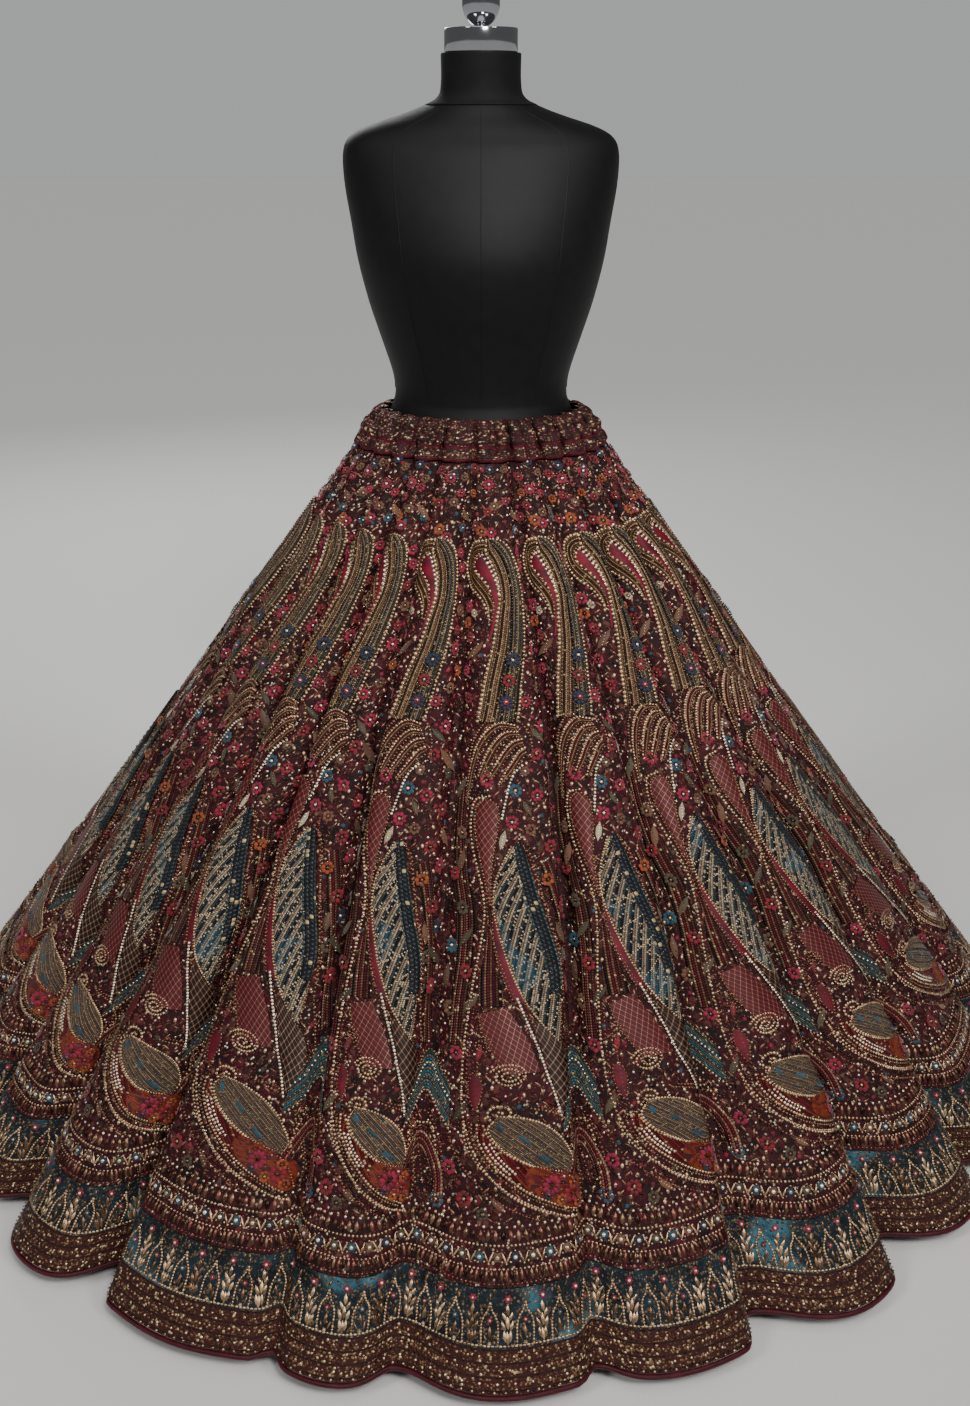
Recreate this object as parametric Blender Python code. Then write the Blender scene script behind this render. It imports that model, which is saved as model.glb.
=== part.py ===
"""Lehenga skirt of 24 flared kalis on a limbless dress form with a pole stand.

Metres, +Z up, +X to the right of someone who faces the front of the skirt, -Y towards them.
The origin is the middle of the stand's underside, on the floor.
"""
import math

import bmesh
import bpy
from mathutils import Vector

# Skirt: heights above the floor, and the cone that the tips of the folds lie on
WAIST_HEIGHT = 0.897
HEM_HEIGHT = 0.020
WAIST_HALF_WIDTH = 0.132
HEM_RADIUS = 0.785
HEM_FLARE = 0.034            # part of the hem radius that comes from the curve of the flare
WAIST_DEPTH_RATIO = 0.80     # the waist is an oval, the hem is round
ROUND_FROM = 0.5             # the share of the drop below which the skirt is round

# Skirt: cloth
KALI_WALL = 0.0022
BAND_WALL = 0.0030
SEAM_GAP = 0.0003
PIPING_HEIGHT = 0.006
PIPING_THICKNESS = 0.005
PIPING_GAP = 0.0010           # the seam that joins the piping, at the outer face

# Skirt: seams, as shares of the drop from the waist to the hem
BAND_END = 0.055
BORDER_START = 0.900
BORDER_END = 0.9915

# Folds: a groove along each seam, a rounded lobe between two grooves
GATHER_DEPTH = 0.011         # a groove's depth at the waist
GATHER_WIDTH = 3.4           # its half width there, degrees
MID_DROP = 0.5               # where the table's middle depth holds
LOBE_ROUNDNESS = 0.008       # how far a lobe's edges fall back, for each metre of radius
PINCH_SLOPE = 0.006          # how far the sides of a lobe lean over its grooves
LEAN_START = 0.3             # grooves run straight down to here, then lean
PUCKER_DEPTH = 0.005         # the small second gather in the middle of some kalis
PUCKER_WIDTH = 0.13
PUCKER_END = 0.20

# One row for each seam, from the middle of the back round the viewer's left side.
# seam and hem: the groove's angle at the waist and at the hem, in degrees from the front,
# + to the viewer's right. mid and deep: its depth half way down and at the hem, millimetres.
# left and right: its half widths at the hem, degrees. reach: how far the lobe after it
# stands out past the cone at the hem, millimetres. pucker: its second gather, 0 to 1.
FOLDS = (
    # seam, hem, mid, deep, left, right, reach, pucker
    (-179.0, -178.0, 27.0, 56.0, 1.6, 4.0, 0.0, 0.3),
    (-163.5, -165.5, 20.0, 34.0, 3.0, 1.4, 4.0, 0.9),
    (-148.0, -146.5, 30.0, 60.0, 2.2, 2.4, -3.0, 0.2),
    (-134.0, -135.0, 18.0, 26.0, 1.4, 3.6, 5.0, 0.7),
    (-118.5, -116.0, 28.0, 54.0, 3.4, 1.5, 0.0, 0.4),
    (-104.0, -103.5, 22.0, 38.0, 1.8, 2.8, 2.0, 0.8),
    (-88.5, -90.5, 30.0, 58.0, 2.6, 1.6, -2.0, 0.2),
    (-73.5, -74.5, 21.0, 36.0, 2.0, 3.2, 0.0, 0.6),
    (-59.5, -60.0, 26.0, 50.0, 2.8, 1.6, -4.0, 0.3),
    (-46.0, -48.6, 26.0, 46.0, 2.2, 2.6, 11.0, 0.7),
    (-33.0, -34.2, 29.0, 60.0, 2.6, 1.0, 6.0, 0.2),
    (-20.0, -17.0, 24.0, 16.0, 1.1, 1.1, 6.0, 0.9),
    (-4.5, -6.9, 22.0, 22.0, 2.0, 4.2, 8.0, 1.0),
    (13.5, 9.2, 24.0, 20.0, 1.0, 2.4, 4.0, 0.5),
    (27.5, 23.6, 27.0, 42.0, 1.2, 5.6, 12.0, 0.8),
    (41.5, 39.6, 28.0, 56.0, 1.6, 4.4, 2.0, 0.3),
    (57.0, 54.5, 25.0, 44.0, 2.0, 2.6, 0.0, 0.6),
    (72.0, 72.5, 27.0, 52.0, 1.6, 3.0, 2.0, 0.9),
    (86.5, 88.0, 20.0, 30.0, 3.2, 1.8, -2.0, 0.2),
    (101.5, 100.0, 29.0, 58.0, 1.6, 2.4, 4.0, 0.5),
    (117.0, 118.5, 24.0, 44.0, 2.4, 3.4, 0.0, 0.9),
    (131.5, 130.5, 19.0, 28.0, 1.4, 2.0, 3.0, 0.3),
    (147.0, 149.0, 30.0, 60.0, 3.0, 1.6, -2.0, 0.7),
    (162.5, 161.5, 23.0, 40.0, 1.8, 3.0, 3.0, 0.5),
)

# Facets
KALI_COLUMNS = 8
KALI_ROWS = 8
FORM_SIDES = 36
TURNED_SIDES = 24

# Dress form: height, half width, half depth and how far forward its middle is
FORM_CLEARANCE = 0.0004
FORM_SECTIONS = (
    # height, half_width, half_depth, forward
    (1.3165, 0.0475, 0.0475, 0.000),
    (1.2850, 0.0475, 0.0475, 0.000),
    (1.2680, 0.0520, 0.0500, 0.000),
    (1.2570, 0.0720, 0.0560, 0.000),
    (1.2460, 0.1030, 0.0620, 0.000),
    (1.2350, 0.1380, 0.0680, 0.001),
    (1.2230, 0.1600, 0.0740, 0.002),
    (1.2050, 0.1680, 0.0820, 0.004),
    (1.1700, 0.1670, 0.0920, 0.007),
    (1.1250, 0.1600, 0.1030, 0.010),
    (1.0800, 0.1530, 0.1080, 0.011),
    (1.0300, 0.1410, 0.1020, 0.009),
    (0.9850, 0.1270, 0.0950, 0.005),
    (0.9400, 0.1130, 0.0890, 0.002),
    (0.9140, 0.1110, 0.0880, 0.000),
    # the waist comes here, fitted to the waistband
    (0.8400, 0.1360, 0.1080, 0.000),
    (0.7800, 0.1530, 0.1220, 0.000),
    (0.7200, 0.1600, 0.1290, 0.000),
    (0.6800, 0.1570, 0.1270, 0.000),
)

# Cap and finial on the neck, and the stand
CAP_RADIUS = 0.044
CAP_HEIGHT = 0.027
CAP_EDGE = 0.0015
FINIAL_STUB_RADIUS = 0.009
FINIAL_STUB_HEIGHT = 0.003
FINIAL_RADIUS = 0.0225
FINIAL_HEIGHT = 0.066
FINIAL_WIDEST = 0.42         # share of the finial's height where it is widest
FINIAL_STEPS = 9
POLE_RADIUS = 0.0125
FLANGE_RADIUS = 0.045
FLANGE_HEIGHT = 0.006
COLLAR_RADIUS = 0.022
COLLAR_HEIGHT = 0.040
BASE_RADIUS = 0.170
BASE_EDGE_HEIGHT = 0.008
BASE_CROWN_HEIGHT = 0.018
BASE_CROWN_RADIUS = 0.060

COLOURS = {
    # name: base colour, roughness, metallic
    "embroidered velvet": ((0.19, 0.07, 0.07), 0.80, 0.0),
    "gathered band cloth": ((0.22, 0.11, 0.08), 0.80, 0.0),
    "brocade border": ((0.14, 0.15, 0.14), 0.70, 0.0),
    "piping satin": ((0.24, 0.05, 0.07), 0.55, 0.0),
    "form cover": ((0.015, 0.015, 0.018), 0.60, 0.0),
    "chromed cap": ((0.78, 0.78, 0.80), 0.12, 1.0),
    "stand steel": ((0.60, 0.60, 0.62), 0.30, 1.0),
}


def smoothstep(value):
    """Ease from 0 to 1 with a flat start and end."""
    share = min(max(value, 0.0), 1.0)
    return share * share * (3.0 - 2.0 * share)


def mix(first, second, share):
    return first + (second - first) * share


def drop_height(drop):
    """Height above the floor at a share of the drop from the waist to the hem."""
    return mix(WAIST_HEIGHT, HEM_HEIGHT, drop)


def cone_radius(drop):
    """Radius of the cone that the lobes touch, at the sides."""
    straight = HEM_RADIUS - HEM_FLARE - WAIST_HALF_WIDTH
    return WAIST_HALF_WIDTH + straight * drop + HEM_FLARE * drop * drop


def depth_ratio(drop):
    return mix(WAIST_DEPTH_RATIO, 1.0, smoothstep(drop / ROUND_FROM))


def seam_angle(index, drop):
    """Angle of a groove in degrees; the index may run past the last one, once round."""
    turns, row = divmod(index, len(FOLDS))
    seam, hem = FOLDS[row][0], FOLDS[row][1]
    lean = smoothstep((drop - LEAN_START) / (1.0 - LEAN_START))
    return mix(seam, hem, lean) + 360.0 * turns


def groove_size(row, drop):
    """Depth in metres and the two half widths in degrees of one groove at a drop."""
    mid, deep, left, right = row[2:6]
    upper = smoothstep(drop / MID_DROP)
    lower = smoothstep((drop - MID_DROP) / (1.0 - MID_DROP))
    depth = mix(mix(GATHER_DEPTH, 0.001 * mid, upper), 0.001 * deep, lower)
    return depth, mix(GATHER_WIDTH, left, upper), mix(GATHER_WIDTH, right, upper)


def cloth_point(kali, across, drop):
    """Point on the skirt's outer face: across is 0 to 1 from a kali's seam to the next."""
    cone = cone_radius(drop)
    angle = mix(seam_angle(kali, drop), seam_angle(kali + 1, drop), across)
    radius = cone
    for groove in range(kali - 1, kali + 3):
        depth, left, right = groove_size(FOLDS[groove % len(FOLDS)], drop)
        away = angle - seam_angle(groove, drop)
        width = left if away < 0.0 else right
        radius -= depth * math.exp(-(away / width) ** 2)
    edge = math.cos(math.pi * across) ** 2
    radius -= LOBE_ROUNDNESS * cone * edge
    reach, pucker = FOLDS[kali % len(FOLDS)][6:8]
    radius += 0.001 * reach * drop * (1.0 - edge)
    dip = math.exp(-((across - 0.5) / PUCKER_WIDTH) ** 2)
    radius -= PUCKER_DEPTH * pucker * dip * (1.0 - smoothstep(drop / PUCKER_END))
    turn = math.radians(angle) - PINCH_SLOPE * math.sin(2.0 * math.pi * across)
    ratio = depth_ratio(drop)
    return Vector((radius * math.sin(turn), -radius * ratio * math.cos(turn), drop_height(drop)))


def cloth_frame(kali, across, drop):
    """Outer point with its unit directions along the hem, down the cloth and outwards."""
    step = 1e-4
    point = cloth_point(kali, across, drop)
    along = cloth_point(kali, across + step, drop) - cloth_point(kali, across - step, drop)
    down = cloth_point(kali, across, drop + step) - cloth_point(kali, across, drop - step)
    along.normalize()
    down.normalize()
    outward = along.cross(down).normalized()
    if outward.dot(Vector((point.x, point.y, 0.0))) < 0.0:
        outward.negate()
    return point, along, down, outward


def column_place(column):
    """Where a column of facets lies across a kali: closer together near its grooves."""
    return 0.5 - 0.5 * math.cos(math.pi * column / KALI_COLUMNS)


def make_material(name):
    colour, roughness, metallic = COLOURS[name]
    material = bpy.data.materials.get(name)
    if material is None:
        material = bpy.data.materials.new(name)
        material.use_nodes = True
        shader = material.node_tree.nodes["Principled BSDF"]
        shader.inputs["Base Color"].default_value = (*colour, 1.0)
        shader.inputs["Roughness"].default_value = roughness
        shader.inputs["Metallic"].default_value = metallic
    return material


def add_object(name, points, faces, material):
    """One named object from points and faces, with its normals made to point out."""
    mesh = bpy.data.meshes.new(name)
    mesh.from_pydata(points, [], faces)
    shape = bmesh.new()
    shape.from_mesh(mesh)
    bmesh.ops.recalc_face_normals(shape, faces=shape.faces)
    bmesh.ops.triangulate(shape, faces=shape.faces)
    shape.to_mesh(mesh)
    shape.free()
    mesh.materials.append(make_material(material))
    mesh.shade_smooth()
    mesh.set_sharp_from_angle(angle=math.radians(40.0))
    thing = bpy.data.objects.new(name, mesh)
    bpy.context.collection.objects.link(thing)
    return thing


def add_wall(name, outer, inner, material):
    """A panel of cloth between two grids of points, closed by a rim along its four edges."""
    rows, columns = len(outer), len(outer[0])
    points = [point for row in outer for point in row] + [point for row in inner for point in row]
    back = rows * columns
    faces = []
    for row in range(rows - 1):
        for column in range(columns - 1):
            corner = row * columns + column
            quad = (corner, corner + 1, corner + columns + 1, corner + columns)
            faces.append(quad)
            faces.append(tuple(back + index for index in reversed(quad)))
    top = list(range(columns))
    right = [row * columns + columns - 1 for row in range(1, rows)]
    bottom = [(rows - 1) * columns + column for column in range(columns - 2, -1, -1)]
    left = [row * columns for row in range(rows - 2, 0, -1)]
    rim = top + right + bottom + left
    for start, end in zip(rim, rim[1:] + rim[:1]):
        faces.append((end, start, back + start, back + end))
    return add_object(name, points, faces, material)


def add_tube(name, loops, material):
    """A ring from closed loops of points; the last loop joins the first again."""
    count = len(loops[0])
    points = [point for loop in loops for point in loop]
    faces = []
    for loop in range(len(loops)):
        following = (loop + 1) % len(loops)
        for index in range(count):
            after = (index + 1) % count
            faces.append((loop * count + index, loop * count + after,
                          following * count + after, following * count + index))
    return add_object(name, points, faces, material)


def add_turned(name, profile, sides, material):
    """A turned piece about Z from (radius, height) pairs, top to bottom, closed at both ends."""
    points = []
    for radius, height in profile:
        for side in range(sides):
            angle = 2.0 * math.pi * side / sides
            points.append(Vector((radius * math.cos(angle), radius * math.sin(angle), height)))
    return add_stack(name, points, len(profile), sides, material)


def add_stack(name, points, rows, sides, material):
    """A closed body from rows of points, one above another, with a flat cap at each end."""
    faces = []
    for row in range(rows - 1):
        for side in range(sides):
            after = (side + 1) % sides
            faces.append((row * sides + side, row * sides + after,
                          (row + 1) * sides + after, (row + 1) * sides + side))
    faces.append(tuple(reversed(range(sides))))
    faces.append(tuple(range((rows - 1) * sides, rows * sides)))
    return add_object(name, points, faces, material)


def add_kali(kali):
    """One flared panel, from the waistband's seam down to the border's seam."""
    outer = []
    inner = []
    for row in range(KALI_ROWS + 1):
        drop = mix(BAND_END, BORDER_START, row / KALI_ROWS)
        outer_row = []
        inner_row = []
        for column in range(KALI_COLUMNS + 1):
            point, along, down, outward = cloth_frame(kali, column_place(column), drop)
            if column == 0:
                point += along * SEAM_GAP / 2.0
            if column == KALI_COLUMNS:
                point -= along * SEAM_GAP / 2.0
            if row == 0:
                point += down * SEAM_GAP / 2.0
            if row == KALI_ROWS:
                point -= down * SEAM_GAP / 2.0
            outer_row.append(point)
            inner_row.append(point - outward * KALI_WALL)
        outer.append(outer_row)
        inner.append(inner_row)
    add_wall(f"kali_{kali + 1:02d}", outer, inner, "embroidered velvet")


def hem_loop(drop, down_offset, out_offset):
    """A closed loop round the skirt at one drop, moved along the cloth and out of it."""
    loop = []
    for kali in range(len(FOLDS)):
        for column in range(KALI_COLUMNS):
            point, along, down, outward = cloth_frame(kali, column_place(column), drop)
            loop.append(point + down * down_offset + outward * out_offset)
    return loop


def add_band(name, start, end, wall, material):
    """A strip of cloth all the way round, between two drops."""
    edge = SEAM_GAP / 2.0
    loops = [hem_loop(start, edge, 0.0), hem_loop(end, -edge, 0.0),
             hem_loop(end, -edge, -wall), hem_loop(start, edge, -wall)]
    add_tube(name, loops, material)


def add_piping():
    """A thick cord of cloth along the hem, below the border."""
    top = PIPING_GAP
    bottom = top + PIPING_HEIGHT
    spare = (PIPING_THICKNESS - KALI_WALL) / 2.0
    outside = spare
    inside = -KALI_WALL - spare
    loops = [hem_loop(BORDER_END, top, outside), hem_loop(BORDER_END, bottom, outside),
             hem_loop(BORDER_END, bottom, inside), hem_loop(BORDER_END, top, inside)]
    add_tube("hem_piping", loops, "piping satin")


def add_dress_form():
    """Neck, shoulders, bust, waist and hips; the waist is fitted inside the waistband."""
    waist_valley = WAIST_HALF_WIDTH * (1.0 - LOBE_ROUNDNESS) - GATHER_DEPTH
    inside = BAND_WALL + FORM_CLEARANCE
    waist = (WAIST_HEIGHT - 0.001, waist_valley - inside, waist_valley * WAIST_DEPTH_RATIO - inside, 0.0)
    sections = sorted(FORM_SECTIONS + (waist,), reverse=True)
    points = []
    for height, half_width, half_depth, forward in sections:
        for side in range(FORM_SIDES):
            angle = 2.0 * math.pi * side / FORM_SIDES
            points.append(Vector((half_width * math.cos(angle),
                                  half_depth * math.sin(angle) - forward, height)))
    add_stack("dress_form", points, len(sections), FORM_SIDES, "form cover")


def add_neck_cap():
    """Chromed cap on the neck with its egg-shaped finial, one turned piece."""
    base = FORM_SECTIONS[0][0] + SEAM_GAP
    top = base + CAP_HEIGHT
    finial = top + FINIAL_STUB_HEIGHT
    profile = []
    for step in range(FINIAL_STEPS):
        share = (step + 0.5) / FINIAL_STEPS
        if share < 1.0 - FINIAL_WIDEST:
            reach = 1.0 - share / (1.0 - FINIAL_WIDEST)
        else:
            reach = (share - 1.0 + FINIAL_WIDEST) / FINIAL_WIDEST
        radius = FINIAL_RADIUS * math.sqrt(1.0 - reach * reach)
        profile.append((radius, finial + FINIAL_HEIGHT * (1.0 - share)))
    profile += [
        (FINIAL_STUB_RADIUS, finial),
        (FINIAL_STUB_RADIUS, top),
        (CAP_RADIUS - CAP_EDGE, top),
        (CAP_RADIUS, top - CAP_EDGE),
        (CAP_RADIUS, base + CAP_EDGE),
        (CAP_RADIUS - CAP_EDGE, base),
    ]
    add_turned("neck_cap", profile, TURNED_SIDES, "chromed cap")


def add_stand():
    """Flange under the form, pole, collar and round base, one welded piece."""
    top = FORM_SECTIONS[-1][0] - SEAM_GAP
    profile = [
        (FLANGE_RADIUS, top),
        (FLANGE_RADIUS, top - FLANGE_HEIGHT),
        (POLE_RADIUS, top - FLANGE_HEIGHT),
        (POLE_RADIUS, BASE_CROWN_HEIGHT + COLLAR_HEIGHT),
        (COLLAR_RADIUS, BASE_CROWN_HEIGHT + COLLAR_HEIGHT),
        (COLLAR_RADIUS, BASE_CROWN_HEIGHT),
        (BASE_CROWN_RADIUS, BASE_CROWN_HEIGHT),
        (BASE_RADIUS, BASE_EDGE_HEIGHT),
        (BASE_RADIUS, 0.0),
    ]
    add_turned("stand", profile, TURNED_SIDES, "stand steel")


def clear_scene():
    for thing in list(bpy.data.objects):
        bpy.data.objects.remove(thing, do_unlink=True)


clear_scene()
add_band("waistband", 0.0, BAND_END, BAND_WALL, "gathered band cloth")
for kali_index in range(len(FOLDS)):
    add_kali(kali_index)
add_band("hem_border", BORDER_START, BORDER_END, KALI_WALL, "brocade border")
add_piping()
add_dress_form()
add_neck_cap()
add_stand()
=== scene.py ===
import math

import bpy
import mathutils
import numpy as np
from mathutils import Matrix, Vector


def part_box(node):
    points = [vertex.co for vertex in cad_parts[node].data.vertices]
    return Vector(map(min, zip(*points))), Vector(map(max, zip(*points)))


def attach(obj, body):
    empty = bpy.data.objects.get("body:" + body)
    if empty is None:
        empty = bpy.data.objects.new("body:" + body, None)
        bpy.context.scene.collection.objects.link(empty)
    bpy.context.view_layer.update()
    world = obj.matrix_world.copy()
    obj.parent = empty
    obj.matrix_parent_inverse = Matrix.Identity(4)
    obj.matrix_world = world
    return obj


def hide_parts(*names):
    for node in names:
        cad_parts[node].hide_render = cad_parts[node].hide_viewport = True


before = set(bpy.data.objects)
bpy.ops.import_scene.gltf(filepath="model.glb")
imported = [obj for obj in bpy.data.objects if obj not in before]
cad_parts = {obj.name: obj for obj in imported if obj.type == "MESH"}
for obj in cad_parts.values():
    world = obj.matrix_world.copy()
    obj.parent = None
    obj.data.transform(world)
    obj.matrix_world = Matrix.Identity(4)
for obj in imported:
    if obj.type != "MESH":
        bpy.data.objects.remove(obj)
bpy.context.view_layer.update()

# The dress form: a limbless shop torso of moulded shell under a tight black cloth cover.
# The cover is cut in panels, so thin seams run over the shoulders and down the front and
# back. The skirt hangs on its waist, and its hips stay hidden inside the skirt.

FORM_SECTIONS = np.array([
    # height, half_width, half_depth, forward
    (1.3165, 0.0475, 0.0475, 0.000),
    (1.2850, 0.0475, 0.0475, 0.000),
    (1.2680, 0.0520, 0.0500, 0.000),
    (1.2570, 0.0720, 0.0560, 0.000),
    (1.2460, 0.1030, 0.0620, 0.000),
    (1.2350, 0.1380, 0.0680, 0.001),
    (1.2230, 0.1600, 0.0740, 0.002),
    (1.2050, 0.1680, 0.0820, 0.004),
    (1.1700, 0.1670, 0.0920, 0.007),
    (1.1250, 0.1600, 0.1030, 0.010),
    (1.0800, 0.1530, 0.1080, 0.011),
    (1.0300, 0.1410, 0.1020, 0.009),
    (0.9850, 0.1270, 0.0950, 0.005),
    (0.9400, 0.1130, 0.0890, 0.002),
    (0.9140, 0.1110, 0.0880, 0.000),
    (0.8960, 0.1165, 0.0905, 0.000),
    (0.8400, 0.1360, 0.1080, 0.000),
    (0.7800, 0.1530, 0.1220, 0.000),
    (0.7200, 0.1600, 0.1290, 0.000),
    (0.6800, 0.1570, 0.1270, 0.000),
])
FORM_ROWS = 90
FORM_SIDES = 72
CLOTH_SPECULAR = 0.22         # how strongly plain cloth glances, as the shader counts it


def paint(code):
    """A colour written as #rrggbb, as linear red, green, blue and alpha."""
    parts = [int(code[place:place + 2], 16) / 255.0 for place in (1, 3, 5)]
    linear = [part / 12.92 if part <= 0.04045 else ((part + 0.055) / 1.055) ** 2.4
              for part in parts]
    return (*linear, 1.0)


def smooth_curve(points, count):
    """Points along a smooth curve through the given ones, evenly spaced from knot to knot."""
    knots = np.asarray(points, float)
    padded = np.vstack([2.0 * knots[0] - knots[1], knots, 2.0 * knots[-1] - knots[-2]])
    place = np.linspace(0.0, len(knots) - 1.0, count)
    start = np.minimum(place.astype(int), len(knots) - 2)
    share = (place - start)[:, None]
    before, first, second, after = (padded[start + step] for step in range(4))
    return 0.5 * (2.0 * first + (second - before) * share
                  + (2.0 * before - 5.0 * first + 4.0 * second - after) * share ** 2
                  + (3.0 * first - before - 3.0 * second + after) * share ** 3)


def grid_faces(rows, columns, closed=False):
    """Four-cornered faces of a grid of points, row by row; closed joins the last column round."""
    row = np.arange(rows - 1)[:, None] * columns
    column = np.arange(columns if closed else columns - 1)[None, :]
    after = (column + 1) % columns
    corners = [row + column, row + columns + column, row + columns + after, row + after]
    return np.stack(corners, -1).reshape(-1, 4)


def paired(first, second):
    """Two arrays of any matching shapes as one array of pairs."""
    return np.stack(np.broadcast_arrays(first, second), -1)


def unit(vectors):
    """Vectors made one long, along the last axis."""
    return vectors / np.linalg.norm(vectors, axis=-1, keepdims=True)


def run_lengths(points):
    """How far each point of a line, or of many lines, lies along it from its first point."""
    steps = np.linalg.norm(np.diff(points, axis=-2), axis=-1)
    return np.concatenate([np.zeros(steps.shape[:-1] + (1,)), np.cumsum(steps, axis=-1)], -1)


def make_piece(name, points, faces, material, uvs=None):
    """One smooth mesh piece from points and faces, with UV maps given point by point."""
    mesh = bpy.data.meshes.new(name)
    points = np.asarray(points, float).reshape(-1, 3)
    groups = faces if isinstance(faces, list) else [faces]
    corners = np.concatenate([group.ravel() for group in groups]).astype(np.int32)
    sizes = np.concatenate([np.full(len(group), group.shape[1]) for group in groups])
    starts = np.concatenate([[0], np.cumsum(sizes)[:-1]]).astype(np.int32)
    mesh.vertices.add(len(points))
    mesh.vertices.foreach_set("co", points.ravel().astype(np.float32))
    mesh.loops.add(len(corners))
    mesh.loops.foreach_set("vertex_index", corners)
    mesh.polygons.add(len(sizes))
    mesh.polygons.foreach_set("loop_start", starts)
    mesh.update(calc_edges=True)
    mesh.validate()
    for label, values in (uvs or {}).items():
        spread = np.asarray(values, np.float32).reshape(-1, 2)[corners]
        mesh.uv_layers.new(name=label).data.foreach_set("uv", spread.ravel())
    mesh.shade_smooth()
    mesh.materials.append(material)
    piece = bpy.data.objects.new(name, mesh)
    bpy.context.collection.objects.link(piece)
    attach(piece, "root")
    return piece


class Finish:
    """A new material or node group, with short ways to add and join its nodes."""

    def __init__(self, tree):
        self.tree = tree
        self.shader = tree.nodes.get("Principled BSDF")

    def add(self, kind, settings=None, **inputs):
        """A node of one kind; settings are its own options, inputs go to its sockets by name."""
        node = self.tree.nodes.new("ShaderNode" + kind)
        for option, value in (settings or {}).items():
            setattr(node, option, value)
        for name, value in inputs.items():
            self.join(value, node.inputs[name.replace("_", " ")])
        return node

    def group(self, tree, **inputs):
        """A node group placed among the nodes, its inputs given by name."""
        return self.add("Group", {"node_tree": tree}, **inputs)

    def join(self, value, socket):
        """Give a socket a link, a colour code or a plain value."""
        if isinstance(value, bpy.types.NodeSocket):
            self.tree.links.new(value, socket)
        elif isinstance(value, bpy.types.Node):
            self.tree.links.new(value.outputs[0], socket)
        elif isinstance(value, str):
            socket.default_value = paint(value)
        else:
            socket.default_value = value

    def wear(self, **looks):
        """Give the Principled shader's sockets their values, by name."""
        for name, value in looks.items():
            self.join(value, self.shader.inputs[name.replace("_", " ")])

    def relief(self, height, strength, distance):
        """Let a height between 0 and 1 tilt the surface; distance is its full rise in metres."""
        self.wear(Normal=self.add("Bump", Height=height, Strength=strength, Distance=distance))

    def math(self, operation, first, second=0.0):
        node = self.add("Math", {"operation": operation})
        self.join(first, node.inputs[0])
        self.join(second, node.inputs[1])
        return node.outputs[0]

    def parts(self, vector):
        """The three numbers of a vector."""
        return self.add("SeparateXYZ", Vector=vector).outputs

    def noise(self, place, scale, detail, **inputs):
        return self.add("TexNoise", Vector=place, Scale=scale, Detail=detail, **inputs).outputs[0]

    def plus(self, first, second):
        return self.math("ADD", first, second)

    def minus(self, first, second):
        return self.math("SUBTRACT", first, second)

    def times(self, first, second):
        return self.math("MULTIPLY", first, second)

    def over(self, first, second):
        return self.math("DIVIDE", first, second)

    def blend(self, share, first, second, kind="MIX"):
        """Colours mixed by a share, from all first at 0 to all second at 1."""
        node = self.add("Mix", {"data_type": "RGBA", "blend_type": kind})
        for value, place in ((share, 0), (first, 6), (second, 7)):
            self.join(value, node.inputs[place])
        return node.outputs[2]

    def shaded(self, colour, shade):
        """A colour made darker or lighter by a factor."""
        return self.blend(1.0, colour, self.add("CombineColor", Red=shade, Green=shade, Blue=shade),
                          "MULTIPLY")

    def ramp(self, value, *stops):
        """Colours along 0 to 1, as (place, colour) pairs."""
        node = self.tree.nodes.new("ShaderNodeValToRGB")
        band = node.color_ramp
        while len(band.elements) < len(stops):
            band.elements.new(1.0)
        for element, (place, colour) in zip(band.elements, stops):
            element.position = place
            element.color = paint(colour) if isinstance(colour, str) else (colour,) * 3 + (1.0,)
        self.join(value, node.inputs[0])
        return node.outputs[0]

    def steps(self, value, tones):
        """Even steps of plain tones along 0 to 1."""
        band = self.ramp(value, *[(number / float(len(tones)), tone)
                                  for number, tone in enumerate(tones)])
        band.node.color_ramp.interpolation = "CONSTANT"
        return band

    def between(self, value, low, high):
        """0 below low, 1 above high, eased in between."""
        node = self.add("MapRange", {"interpolation_type": "SMOOTHSTEP"},
                        Value=value, From_Min=low, From_Max=high)
        return node.outputs[0]


def new_material(name, uv_map=None):
    """A material, its Finish, and places on it: from a UV map, or in the piece's own metres."""
    material = bpy.data.materials.new(name)
    material.use_nodes = True
    finish = Finish(material.node_tree)
    finish.wear(Specular_IOR_Level=CLOTH_SPECULAR)
    place = (finish.add("UVMap", {"uv_map": uv_map}).outputs[0] if uv_map
             else finish.add("TexCoord").outputs["Object"])
    return material, finish, place


def new_group(name, inputs, outputs):
    """A shader node group; inputs are (name, value), outputs are names, colours end in Colour."""
    tree = bpy.data.node_groups.new(name, "ShaderNodeTree")
    for label, value in inputs:
        kind = "NodeSocketVector" if value is None else "NodeSocketFloat"
        socket = tree.interface.new_socket(label, in_out="INPUT", socket_type=kind)
        if value is not None:
            socket.default_value = value
    for label in outputs:
        kind = "NodeSocketColor" if label.endswith("Colour") else "NodeSocketFloat"
        tree.interface.new_socket(label, in_out="OUTPUT", socket_type=kind)
    ends = tree.nodes.new("NodeGroupInput"), tree.nodes.new("NodeGroupOutput")
    return tree, Finish(tree), ends[0].outputs, ends[1].inputs


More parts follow.
